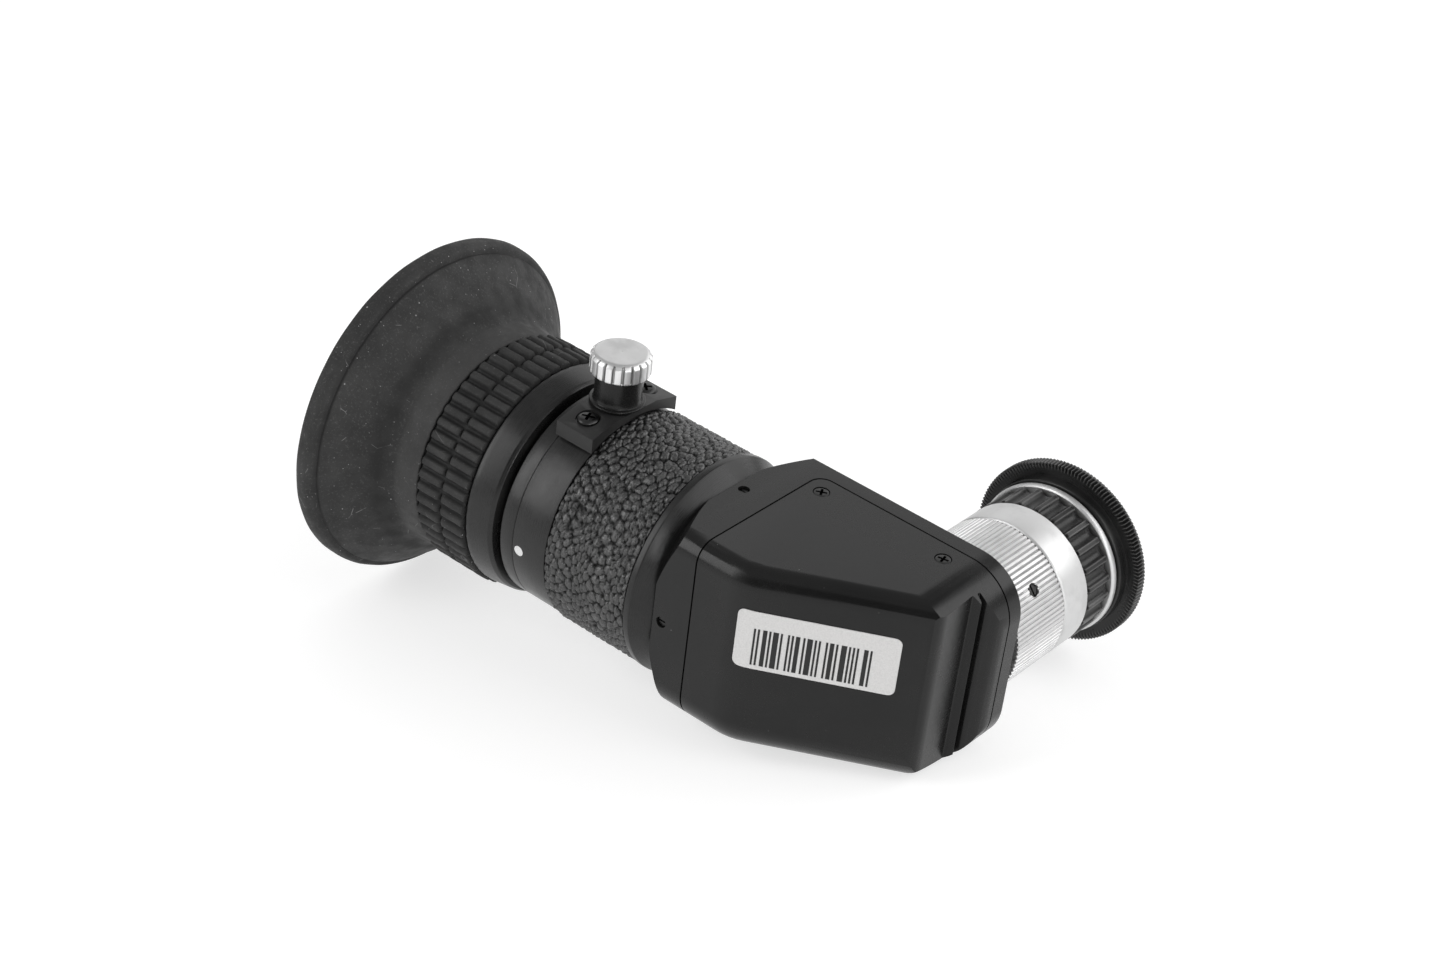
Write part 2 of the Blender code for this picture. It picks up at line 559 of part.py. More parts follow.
def make_camera_tube(root):
    """The tube in the base's wall, and the knurled collar on it with the click-stop's ball."""
    section = [
        (SEAM_Y + 0.3 * MM, 11.7 * MM), (BASE_Y + GAP, 11.7 * MM), (BASE_Y + GAP, NECK_RADIUS),
        (KNURL_START - GAP, NECK_RADIUS), (KNURL_START - GAP, 11.2 * MM), (KNURL_END - 0.5 * MM, 11.2 * MM),
        (KNURL_END - 0.5 * MM, 9.6 * MM), (21.7 * MM, 9.6 * MM), (21.7 * MM, 10.2 * MM),
        (SEAM_Y + 0.3 * MM, 10.2 * MM),
    ]
    tube = turned("camera_tube", "y", section, "black_anodised", root)
    knurled = ring(KNURL_START, KNURL_END, 11.5 * MM, TUBE_RADIUS)
    collar = turned("knurled_collar", "y", knurled, "silver", root, LARGE)
    place = Matrix.Translation((0, COLLAR_SCREW_Y, 0)) @ Matrix.Rotation(COLLAR_SCREW_TURN, 4, "Y")
    hole = turned_shape(rod((9 * MM, MM), (15 * MM, MM)), SMALL)
    hole_cutter = add("collar_screw_hole", hole, None, root, place)
    cut(collar, hole_cutter)
    cut(tube, hole_cutter)
    plug = turned_shape(rod((12.0 * MM, 0.8 * MM), (12.85 * MM, 0.8 * MM)), SMALL)
    add("detent_screw", plug, "steel", root, place)
    spring = turned_shape(rod((10.95 * MM, 0.6 * MM), (11.8 * MM, 0.6 * MM)), SMALL)
    add("detent_spring", spring, "steel", root, place)
    ball = bmesh.new()
    bmesh.ops.create_uvsphere(ball, u_segments=10, v_segments=6, radius=0.7 * MM)
    bmesh.ops.translate(ball, vec=(0, 0, 10.05 * MM), verts=ball.verts)
    add("detent_ball", ball, "steel", root, place)


def make_adapter(adapter):
    """The sleeve that turns in the camera tube, with the plain band outside and the objective in it."""
    section = [
        (19.5 * MM, ADAPTER_BORE), (19.5 * MM, 8.6 * MM), (21.9 * MM, 8.6 * MM), (21.9 * MM, 9.25 * MM),
        (PLAIN_START, 9.25 * MM), (PLAIN_START, TUBE_RADIUS), (PLAIN_END, TUBE_RADIUS),
        (PLAIN_END, 10.2 * MM), (49.4 * MM, 10.2 * MM), (49.4 * MM, 9.7 * MM), (50.4 * MM, 9.7 * MM),
        (50.4 * MM, 10.2 * MM), (51.0 * MM, 10.2 * MM), (51.0 * MM, ADAPTER_BORE),
    ]
    turned("adapter_sleeve", "y", section, "silver", adapter, LARGE)
    turned("rotation_nut", "y", ring(19.6 * MM, 21.4 * MM, 8.8 * MM, 9.95 * MM), "brass", adapter)
    turned("silver_washer", "y", ring(WASHER_START, WASHER_END, 10.5 * MM, 13.75 * MM), "silver", adapter, LARGE)
    lens = rod((22.8 * MM, 3 * MM), (23.6 * MM, 7.9 * MM), (26.2 * MM, 7.9 * MM), (27.0 * MM, 3 * MM))
    turned("objective_lens", "y", lens, "glass", adapter)
    turned("objective_retainer", "y", ring(26.8 * MM, 28.4 * MM, 7.1 * MM, 7.9 * MM), "brass", adapter)


def make_mount(mount):
    """The flange that is turned by its rim to screw its thread into the camera's eyepiece."""
    hub = WASHER_END + GAP
    section = [
        (hub, 10.5 * MM), (hub, 14.0 * MM), (48.0 * MM, 14.1 * MM), (FLANGE_START, 15.9 * MM),
        (FLANGE_START, FLANGE_RADIUS), (FLANGE_END, FLANGE_RADIUS), (FLANGE_END, CAMERA_THREAD_RADIUS),
        (THREAD_END, CAMERA_THREAD_RADIUS), (THREAD_END, 9.0 * MM), (51.3 * MM, 9.0 * MM),
        (51.3 * MM, 10.5 * MM), (50.5 * MM, 10.5 * MM), (50.5 * MM, 11.2 * MM), (49.3 * MM, 11.2 * MM),
        (49.3 * MM, 10.5 * MM),
    ]
    turned("camera_flange", "y", section, "black_anodised", mount, LARGE)
    turned("flange_circlip", "y", ring(49.6 * MM, 50.2 * MM, 9.95 * MM, 10.95 * MM), "steel", mount)


def make_lock_ring(lock_ring):
    fluted = ring(FLUTED_START, FLUTED_END, 10.5 * MM, 13.3 * MM)
    turned("fluted_lock_ring", "y", fluted, "black_anodised", lock_ring, LARGE)


def main():
    clear_scene()
    root = body("optical_frame", None)
    left = LIP_X * math.cos(TIP) - LIP_RADIUS * math.sin(TIP)
    lowest = -RIM_X * math.sin(TIP) - RIM_RADIUS * math.cos(TIP)
    root.rotation_euler = (0, TIP, 0)
    root.location = (-(left + FLANGE_RADIUS) / 2, -(THREAD_END - RIM_RADIUS) / 2, -lowest)
    make_barrel(root)
    make_index_sleeve(root)
    make_bracket(root)
    make_base(root)
    make_cover(root)
    make_prism(root)
    make_label(root)
    slide = body("eyepiece", root)
    make_eyepiece(slide)
    make_focusing_ring(body("focus", slide))
    lift = body("lock_lift", root)
    make_lock(root, lift, body("lock", lift))
    make_camera_tube(root)
    adapter = body("adapter", root)
    make_adapter(adapter)
    make_mount(body("mount", adapter))
    make_lock_ring(body("lock_ring", adapter))


main()
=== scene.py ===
"""The looks of a right-angle viewfinder attachment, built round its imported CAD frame.

Shapes are drawn in millimetres in the optical frame: the eyepiece axis is X with the eyecup at -X, the
camera axis is +Y, the lock knob is on +Z, and the axes meet at the origin. NEAT carries that frame into
the row frame, where the object lies tipped on its eyecup's rim.
"""

import json
import math

import bmesh
import bpy
import numpy as np
from mathutils import Matrix, Quaternion, Vector, kdtree

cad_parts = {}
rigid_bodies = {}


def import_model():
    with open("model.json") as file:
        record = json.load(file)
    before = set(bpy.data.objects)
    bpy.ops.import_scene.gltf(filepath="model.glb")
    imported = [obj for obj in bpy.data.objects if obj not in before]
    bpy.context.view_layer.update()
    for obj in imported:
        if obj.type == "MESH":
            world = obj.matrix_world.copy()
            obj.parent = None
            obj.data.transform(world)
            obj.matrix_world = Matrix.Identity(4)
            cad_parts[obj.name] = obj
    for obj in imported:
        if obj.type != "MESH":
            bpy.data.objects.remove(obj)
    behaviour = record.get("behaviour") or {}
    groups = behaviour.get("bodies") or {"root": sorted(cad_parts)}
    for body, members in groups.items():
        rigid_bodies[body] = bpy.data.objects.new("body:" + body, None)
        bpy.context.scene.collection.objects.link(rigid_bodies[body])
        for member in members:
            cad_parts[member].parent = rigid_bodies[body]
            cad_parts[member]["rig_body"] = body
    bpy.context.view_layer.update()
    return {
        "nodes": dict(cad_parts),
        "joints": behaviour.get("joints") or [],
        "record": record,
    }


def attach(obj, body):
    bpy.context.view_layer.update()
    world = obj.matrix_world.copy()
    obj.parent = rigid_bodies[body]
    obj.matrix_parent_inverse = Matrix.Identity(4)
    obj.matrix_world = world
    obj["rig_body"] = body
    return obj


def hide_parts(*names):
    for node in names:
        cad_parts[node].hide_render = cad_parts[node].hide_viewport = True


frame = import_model()

MM = 0.001
SHARP_ANGLE, EASED_SHARP_ANGLE, FINE_SHARP_ANGLE = 35, 42, 30
JOINTS = {joint["name"]: joint for joint in frame["joints"]}
SLOTS = {row["node"]: row["material_slot"] for row in frame["record"]["subparts"]}


def neat_frame():
    """The optical frame's place in the row frame, from the joints' axes."""
    up = Vector(JOINTS["lock_travel"]["axis"]).normalized()
    along = Vector(JOINTS["adapter_turn"]["axis"]).normalized()
    side = along.cross(up)
    on_camera_axis = Vector(JOINTS["adapter_turn"]["pos_m"])
    on_eye_axis = Vector(JOINTS["focus_turn"]["pos_m"])
    place = Matrix((side, along, up)).transposed().to_4x4()
    place.translation = (on_camera_axis.x, on_eye_axis.y, on_camera_axis.z)
    return place


NEAT = neat_frame()

# Materials


def smooth_range(nodes, start, end, low, high):
    """A node that carries a value from start...end to low...high."""
    node = nodes.new("ShaderNodeMapRange")
    node.interpolation_type = "SMOOTHSTEP"
    for socket, number in zip(("From Min", "From Max", "To Min", "To Max"), (start, end, low, high)):
        node.inputs[socket].default_value = number
    return node


class Look:
    """A material of shader nodes round one Principled shader. Sizes are in millimetres."""

    def __init__(self, name, colour, **constants):
        self.material = bpy.data.materials.new(name)
        self.material.use_nodes = True
        self.material.diffuse_color = (*colour, 1)
        self.nodes = self.material.node_tree.nodes
        self.links = self.material.node_tree.links
        self.shader = self.nodes["Principled BSDF"]
        self.shader.inputs["Base Color"].default_value = (*colour, 1)
        for socket, value in constants.items():
            self.shader.inputs[socket.replace("_", " ")].default_value = value
        self.place = self.nodes.new("ShaderNodeTexCoord").outputs["Object"]
        self.normal = None

    def linked(self, node, socket, value):
        if isinstance(value, bpy.types.NodeSocket):
            self.links.new(value, node.inputs[socket])
        else:
            node.inputs[socket].default_value = value

    def stretched(self, stretch):
        """Coordinates along the optical frame's axes, each multiplied."""
        node = self.nodes.new("ShaderNodeMapping")
        node.vector_type = "TEXTURE"
        node.inputs["Rotation"].default_value = NEAT.to_euler()
        node.inputs["Scale"].default_value = [1 / part for part in stretch]
        self.links.new(self.place, node.inputs["Vector"])
        return node.outputs["Vector"]

    def noise(self, size, detail=3, roughness=0.5, stretch=(1, 1, 1)):
        node = self.nodes.new("ShaderNodeTexNoise")
        self.links.new(self.stretched(stretch), node.inputs["Vector"])
        node.inputs["Scale"].default_value = 1 / (size * MM)
        node.inputs["Detail"].default_value = detail
        node.inputs["Roughness"].default_value = roughness
        return node.outputs["Fac"]

    def cells(self, size, feature="F1"):
        """The distance to the nearest of scattered points, or to the edge between two of them."""
        node = self.nodes.new("ShaderNodeTexVoronoi")
        node.feature = feature
        self.links.new(self.stretched((1, 1, 1)), node.inputs["Vector"])
        node.inputs["Scale"].default_value = 1 / (size * MM)
        return node.outputs["Distance"]

    def spread(self, value, start, end, low=0, high=1):
        node = smooth_range(self.nodes, start, end, low, high)
        self.links.new(value, node.inputs["Value"])
        return node.outputs["Result"]

    def sum(self, first, second, operation="ADD"):
        node = self.nodes.new("ShaderNodeMath")
        node.operation = operation
        self.linked(node, 0, first)
        self.linked(node, 1, second)
        return node.outputs[0]

    def mix(self, amount, first, second):
        """The first colour where the amount is 0, and the second where it is 1."""
        node = self.nodes.new("ShaderNodeMix")
        node.data_type = "RGBA"
        self.linked(node, "Factor", amount)
        first_colour, second_colour, mixed_colour = 6, 7, 2
        for socket, value in ((first_colour, first), (second_colour, second)):
            self.linked(node, socket, value if isinstance(value, bpy.types.NodeSocket) else (*value, 1))
        return node.outputs[mixed_colour]

    def height(self):
        """How high the relief stands, from 0 in its valleys to 1, and above 1 where light is painted on.

        The mesh stores how far it lies below 1, so a piece with no relief is all top.
        """
        node = self.nodes.new("ShaderNodeAttribute")
        node.attribute_name = "depth"
        return self.sum(1, node.outputs["Fac"], "SUBTRACT")

    def drive(self, socket, value):
        self.links.new(value, self.shader.inputs[socket])

    def bump(self, height, distance, strength=1):
        node = self.nodes.new("ShaderNodeBump")
        node.inputs["Distance"].default_value = distance * MM
        node.inputs["Strength"].default_value = strength
        self.links.new(height, node.inputs["Height"])
        if self.normal is not None:
            self.links.new(self.normal, node.inputs["Normal"])
        self.normal = node.outputs["Normal"]
        self.links.new(self.normal, self.shader.inputs["Normal"])


def grey(level, warm=0.0):
    return (level * (1 + warm), level, level * (1 - warm))


def shade(colour, share):
    return tuple(share * part for part in colour)


def rubber(name, dust):
    """Matt black moulded rubber, mottled with handling, with dust on it."""
    look = Look(name, grey(0.03), Specular_IOR_Level=0.25)
    mottle = look.spread(look.noise(9, 4, 0.65), 0.3, 0.75)
    colour = look.mix(mottle, grey(0.022), grey(0.034, 0.01))
    haze = look.spread(look.noise(0.45, 4, 0.75), 0.52, 0.8, 0, dust)
    colour = look.mix(haze, colour, grey(0.09, 0.015))
    patches = look.spread(look.noise(14, 3), 0.38, 0.62, 0.2, 1)
    for size, reach in ((1.3, 0.07), (2.9, 0.06)):
        specks = look.spread(look.cells(size), reach, 0.5 * reach, 0, dust)
        colour = look.mix(look.sum(specks, patches, "MULTIPLY"), colour, grey(0.55))
    lint = look.sum(look.spread(look.cells(7, "DISTANCE_TO_EDGE"), 0.009, 0.004),
                    look.spread(look.noise(4.5, 3), 0.6, 0.64), "MULTIPLY")
    colour = look.mix(look.sum(lint, 0.45 * dust, "MULTIPLY"), colour, grey(0.3))
    # Painted shade darkens the relief where it lies low, in valleys and creases, and painted light lightens
    # it where it stands above 1
    colour = look.mix(look.spread(look.height(), 0, 1), grey(0.014), colour)
    colour = look.mix(look.spread(look.height(), 1, 1.6), colour, grey(0.06, 0.01))
    look.drive("Base Color", colour)
    look.drive("Roughness", look.spread(look.noise(3, 3), 0.3, 0.7, 0.58, 0.8))
    look.bump(look.noise(0.3, 4, 0.6), 0.04, 0.5)
    return look.material


def anodised(name, axis):
    """Satin black anodised metal with fine turning lines round its axis."""
    level, gloss = 0.012, 0.3
    look = Look(name, grey(level), Specular_IOR_Level=0.32)
    lines = look.noise(0.5, 3, 0.6, [14 if n == axis else 0.12 for n in range(3)])
    smudge = look.spread(look.noise(6, 4, 0.6), 0.35, 0.7)
    tops = look.mix(smudge, grey(level * 0.85), grey(level * 1.25, 0.01))
    # Painted highlight lightens tips that stand above 1
    tops = look.mix(look.spread(look.height(), 1, 1.6), tops, grey(0.09, 0.01))
    # Painted shade darkens the valleys
    look.drive("Base Color", look.mix(look.spread(look.height(), 0, 0.7), grey(level * 0.55), tops))
    look.drive("Roughness", look.sum(look.spread(lines, 0.3, 0.7, gloss - 0.06, gloss + 0.06),
                                     look.spread(smudge, 0, 1, -0.03, 0.05)))
    look.bump(lines, 0.01, 0.35)
    return look.material


def enamel(name, level=0.0075, gloss=0.22):
    """Satin-gloss black enamel on cast metal, with faint orange peel and dust."""
    look = Look(name, grey(level), Specular_IOR_Level=0.27)
    film = look.spread(look.noise(16, 4, 0.6), 0.3, 0.75)
    colour = look.mix(film, grey(0.8 * level), grey(1.2 * level, 0.01))
    specks = look.sum(look.spread(look.cells(3.1), 0.035, 0.012),
                      look.spread(look.noise(13, 2), 0.45, 0.6), "MULTIPLY")
    colour = look.mix(look.sum(specks, 0.5, "MULTIPLY"), colour, grey(0.3))
    look.drive("Base Color", colour)
    look.drive("Roughness", look.sum(look.spread(film, 0, 1, gloss, gloss + 0.06),
                                     look.spread(look.noise(0.8, 3), 0.4, 0.7, 0, 0.03)))
    look.bump(look.noise(1.6, 2, 0.4), 0.02, 0.12)
    look.bump(look.noise(0.25, 2, 0.5), 0.004, 0.2)
    return look.material


def leather_look():
    """Black leatherette: glinting pebbles with dull cracks, wrinkles and pores."""
    look = Look("leather", grey(0.02), Specular_IOR_Level=0.75)
    pores = look.noise(0.3, 4, 0.6)
    wear = look.spread(look.noise(5, 3), 0.4, 0.7)
    tops = look.mix(wear, grey(0.02), grey(0.034, 0.01))
    # Painted shade darkens the cracks and each pebble's edges
    look.drive("Base Color", look.mix(look.spread(look.height(), 0.1, 0.8), grey(0.002), tops))
    look.drive("Specular IOR Level", look.spread(look.height(), 0.03, 0.52, 0.1, 0.85))
    look.drive("Roughness", look.spread(pores, 0.3, 0.7, 0.24, 0.4))
    look.bump(look.noise(0.8, 4, 0.6), 0.15, 0.8)
    look.bump(look.spread(look.cells(0.7, "DISTANCE_TO_EDGE"), 0, 0.16), 0.03, 0.8)
    look.bump(pores, 0.02, 0.4)
    return look.material


def turned_metal(name, axis, colour, gloss):
    """Turned bare metal with tool marks round its axis and faint stains."""
    look = Look(name, colour, Metallic=1.0)
    lines = look.noise(0.45, 4, 0.65, [14 if n == axis else 0.1 for n in range(3)])
    stain = look.spread(look.noise(4, 4, 0.6), 0.45, 0.75)
    # The colour of a painted highlight on tips that stand above 1
    painted_highlight = tuple(min(0.9, part) for part in shade(colour, 1.35))
    tops = look.mix(stain, colour, shade(colour, 0.9))
    tops = look.mix(look.spread(look.height(), 1, 1.6), tops, painted_highlight)
    # The colour of painted shade in the valleys
    painted_valley_shade = shade(colour, 0.6)
    look.drive("Base Color", look.mix(look.spread(look.height(), 0, 0.6), painted_valley_shade, tops))
    look.drive("Roughness", look.sum(look.spread(lines, 0.3, 0.7, gloss - 0.05, gloss + 0.07),
                                     look.spread(stain, 0, 1, 0, 0.06)))
    look.bump(lines, 0.012, 0.4)
    return look.material


def glass_look():
    look = Look("coated_glass", (0.9, 0.93, 0.95), Transmission_Weight=1.0, IOR=1.52)
    film = look.spread(look.noise(5, 2), 0.35, 0.65)
    look.drive("Base Color", look.mix(film, (0.88, 0.92, 0.95), (0.94, 0.93, 0.97)))
    look.drive("Roughness", look.spread(look.noise(1.5, 3), 0.4, 0.7, 0.01, 0.04))
    return look.material


def plain_look(name, colour, fibre, gloss=0.6):
    """Paper, nylon or ink: matt, with a fibre or grain of the size given."""
    look = Look(name, colour, Specular_IOR_Level=0.3)
    grain = look.noise(fibre, 4, 0.6)
    look.drive("Base Color", look.mix(look.spread(grain, 0.35, 0.7), colour, shade(colour, 0.88)))
    look.drive("Roughness", look.spread(grain, 0.3, 0.7, gloss - 0.06, gloss + 0.06))
    look.bump(grain, 0.008, 0.4)
    return look.material


X, Y, Z = range(3)
CUP_RUBBER = rubber("cup_rubber", 0.8)
GRIP_RUBBER = rubber("grip_rubber", 0.45)
ANODISED_X = anodised("anodised_along_x", X)
ANODISED_Y = anodised("anodised_along_y", Y)
PAINT = enamel("black_enamel")
SATIN_PAINT = enamel("satin_black_enamel", 0.02, 0.3)
LEATHER = leather_look()
SILVER_Y = turned_metal("silver_along_y", Y, grey(0.64), 0.46)
SILVER_Z = turned_metal("silver_along_z", Z, grey(0.62), 0.4)
STEEL = turned_metal("dark_steel", Z, grey(0.05), 0.34)
BRIGHT_STEEL = turned_metal("bright_steel", Y, grey(0.5), 0.3)
BRASS = turned_metal("brass", Y, (0.6, 0.44, 0.2), 0.35)
GLASS = glass_look()
NYLON = plain_look("nylon", grey(0.75), 0.8)
PAPER = plain_look("label_paper", grey(0.6, 0.01), 0.25, 0.55)
INK = plain_look("label_ink", grey(0.016), 0.2, 0.5)
MARK = plain_look("index_enamel", grey(0.7), 0.4, 0.4)

SLOT_LOOKS = {
    "rubber": GRIP_RUBBER, "black_paint": PAINT, "black_anodised": ANODISED_X, "leather": LEATHER,
    "silver": SILVER_Y, "steel": BRIGHT_STEEL, "brass": BRASS, "glass": GLASS, "nylon": NYLON,
    "paper": PAPER,
}

# Meshes


def in_scene(name, data):
    added = bpy.data.objects.new(name, data)
    bpy.context.scene.collection.objects.link(added)
    return added


def smoothed(mesh, angle):
    """Shades the mesh smooth, except over edges sharper than the angle in degrees."""
    mesh.shade_smooth()
    mesh.set_sharp_from_angle(angle=math.radians(angle))


def from_bmesh(name, shape, look, smooth=SHARP_ANGLE):
    """An object in place from a mesh in millimetres of the optical frame."""
    bmesh.ops.remove_doubles(shape, verts=shape.verts, dist=1e-5)
    bmesh.ops.recalc_face_normals(shape, faces=shape.faces)
    bmesh.ops.transform(shape, matrix=NEAT @ Matrix.Scale(MM, 4), verts=shape.verts)
    mesh = bpy.data.meshes.new(name)
    shape.to_mesh(mesh)
    shape.free()
    smoothed(mesh, smooth)
    piece = in_scene(name, mesh)
    if look:
        mesh.materials.append(look)
    return piece


def on_axis(axis, along, radius, angle):
    """Points at (along, radius, angle) on a turned piece. The angle starts at +Y, +Z or +X in turn."""
    first, second = radius * np.cos(angle), radius * np.sin(angle)
    order = {"x": (along, first, second), "y": (second, along, first), "z": (first, second, along)}
    return np.stack(order[axis], axis=-1)


def softened(section, radius, steps=3, closed=True):
    """Rounds the corners of a section. A point's third number, where it has one, is its own radius."""
    count = len(section)
    rounded = []
    for n, point in enumerate(section):
        here = np.array(point[:2], float)
        if not closed and n in (0, count - 1):
            rounded.append(here)
            continue
        before = np.array(section[n - 1][:2], float) - here
        after = np.array(section[(n + 1) % count][:2], float) - here
        own = point[2] if len(point) > 2 else radius
        reach = min(own, 0.45 * np.linalg.norm(before), 0.45 * np.linalg.norm(after))
        if reach < 0.01:
            rounded.append(here)
            continue
        start = here + before / np.linalg.norm(before) * reach
        end = here + after / np.linalg.norm(after) * reach
        for t in np.linspace(0, 1, steps + 1):
            rounded.append((1 - t) ** 2 * start + 2 * t * (1 - t) * here + t * t * end)
    return np.array(rounded)


def divided(section, step, closed=True):
    """Adds points, so that no side of the section is longer than step."""
    ends = np.roll(section, -1, axis=0) if closed else section[1:]
    points = []
    for start, end in zip(section, ends):
        parts = max(1, math.ceil(np.linalg.norm(end - start) / step))
        points += [start + (end - start) * n / parts for n in range(parts)]
    if not closed:
        points.append(section[-1])
    return np.array(points)


def joined(shape, here, there):
    """Faces between two closed rows of vertices."""
    for n in range(len(here)):
        m = (n + 1) % len(here)
        shape.faces.new((here[n], here[m], there[m], there[n]))


def lathe(name, axis, section, look, turns=128, relief=None, closed=True, centre=(0, 0, 0),
          smooth=SHARP_ANGLE):
    """A turned piece from (along, radius) points.

    relief(along, radius, angle) gives how much lower the surface lies, and the height its look reads.
    """
    angles = np.arange(turns) * 2 * math.pi / turns
    along = np.repeat(section[:, :1], turns, axis=1)
    radius = np.repeat(section[:, 1:2], turns, axis=1)
    angle = np.repeat(angles[None, :], len(section), axis=0)
    heights = np.ones_like(radius)
    if relief:
        sunk, heights = relief(along, radius, angle)
        radius = radius - sunk
    points = on_axis(axis, along, radius, angle) + np.array(centre, float)
    shape = bmesh.new()
    layer = shape.verts.layers.float.new("depth")
    verts = []
    for row, levels in zip(points, heights):
        verts.append([shape.verts.new(point) for point in row])
        for vert, level in zip(verts[-1], levels):
            vert[layer] = 1 - level
    rows = range(len(verts) if closed else len(verts) - 1)
    for row in rows:
        joined(shape, verts[row], verts[(row + 1) % len(verts)])
    bmesh.ops.dissolve_degenerate(shape, dist=1e-6, edges=shape.edges)
    return from_bmesh(name, shape, look, smooth)


def wave(value, count):
    """Where each angle falls in one of count equal parts, from 0 to 1."""
    return (value * count / (2 * math.pi)) % 1.0


def step_up(value, start, end):
    t = np.clip((value - start) / (end - start), 0, 1)
    return t * t * (3 - 2 * t)


def body_of(node):
    return frame["nodes"][node]["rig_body"]


def stands_for(piece, node):
    """The piece takes a CAD node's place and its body."""
    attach(piece, body_of(node))
    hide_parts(node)


def lathed(node, axis, section, look, **options):
    """A turned piece in a CAD node's place."""
    stands_for(lathe(f"{node}_fine", axis, section, look, **options), node)


def turned(node, axis, section, look, radius=0.15, **options):
    """The same, with its section's corners softened."""
    lathed(node, axis, softened(section, radius), look, **options)


def ring(start, end, inner, outer):
    return [(start, inner), (start, outer), (end, outer), (end, inner)]


def rod(*steps):
    """The section of a solid rod through (along, radius) steps, closed on its axis."""
    return [(steps[0][0], 0), *steps, (steps[-1][0], 0)]


def arc(centre, radius, start, end, steps):
    """Points along an arc between two angles in degrees."""
    angles = [math.radians(start + (end - start) * n / steps) for n in range(steps + 1)]
    return [(centre[0] + radius * math.cos(a), centre[1] + radius * math.sin(a)) for a in angles]


def extruded(outline, low, high, axis="z"):
    """A prism of an outline, which is (x, y) for z, (x, z) for y and (y, z) for x."""
    shape = bmesh.new()
    order = {"z": lambda u, v, w: (u, v, w), "y": lambda u, v, w: (u, w, v), "x": lambda u, v, w: (w, u, v)}
    ends = [[shape.verts.new(order[axis](u, v, level)) for u, v in outline] for level in (low, high)]
    joined(shape, *ends)
    for end in ends:
        shape.faces.new(end)
    bmesh.ops.recalc_face_normals(shape, faces=shape.faces)
    return shape


def rounded(shape, radius, steps, wanted):
    """Rounds the edges for which wanted(middle, direction) is true."""
    chosen = []
    for edge in shape.edges:
        first, second = (vert.co for vert in edge.verts)
        if wanted((first + second) / 2, (second - first).normalized()):
            chosen.append(edge)
    bmesh.ops.bevel(shape, geom=chosen, offset=radius, segments=steps, profile=0.5, affect="EDGES")


def rectangle(left, right, near, far):
    return [(left, near), (right, near), (right, far), (left, far)]


def thinned(section, radius, every):
    """Keeps every point beyond the radius, and one in so many of the others."""
    kept = [n for n in range(len(section)) if section[n, 1] > radius or n % every == 0]
    return section[kept]


def tool(shape):
    """A cutter from a mesh in millimetres."""
    return from_bmesh("cutter", shape, None)


def drill(axis, steps, centre=(0, 0, 0), facets=48):
    section = np.array(rod(*steps), float)
    return lathe("cutter", axis, section, None, turns=facets, centre=centre, closed=False)


def settled(piece):
    """Makes the work of the piece's modifiers a part of its mesh."""
    graph = bpy.context.evaluated_depsgraph_get()
    graph.update()
    mesh = bpy.data.meshes.new_from_object(piece.evaluated_get(graph))
    piece.modifiers.clear()
    piece.data = mesh
    return mesh


def cut(piece, cutter, operation="DIFFERENCE"):
    """Cuts the piece for good, or joins it to the cutter, and removes the cutter."""
    boolean = piece.modifiers.new("cut", "BOOLEAN")
    boolean.operation = operation
    boolean.solver = "EXACT"
    boolean.object = cutter
    settled(piece)
    bpy.data.objects.remove(cutter)


def bored(piece, axis, start, end, radius, centre=(0, 0, 0), facets=48):
    cut(piece, drill(axis, [(start, radius), (end, radius)], centre, facets))


def cut_through(piece, outline, operation="DIFFERENCE"):
    """Cuts along Z with an outline in X and Y."""
    reach = 25
    cut(piece, tool(extruded(outline, -reach, reach)), operation)


def eased(piece, width, look, segments=2, limit=30):
    """Rounds the piece's sharp edges a little, so that they catch the light, and dresses it."""
    bevel = piece.modifiers.new("eased_edges", "BEVEL")
    bevel.width = width * MM
    bevel.segments = segments
    bevel.angle_limit = math.radians(limit)
    mesh = settled(piece)
    smoothed(mesh, EASED_SHARP_ANGLE)
    mesh.materials.clear()
    mesh.materials.append(look)
    weighted = piece.modifiers.new("weighted_normals", "WEIGHTED_NORMAL")
    weighted.keep_sharp = True
    return piece


# The eyecup and its ring

RIM_X, RIM_RADIUS = -103.1, 32.0
GRIP = (-85.3, -74.2)


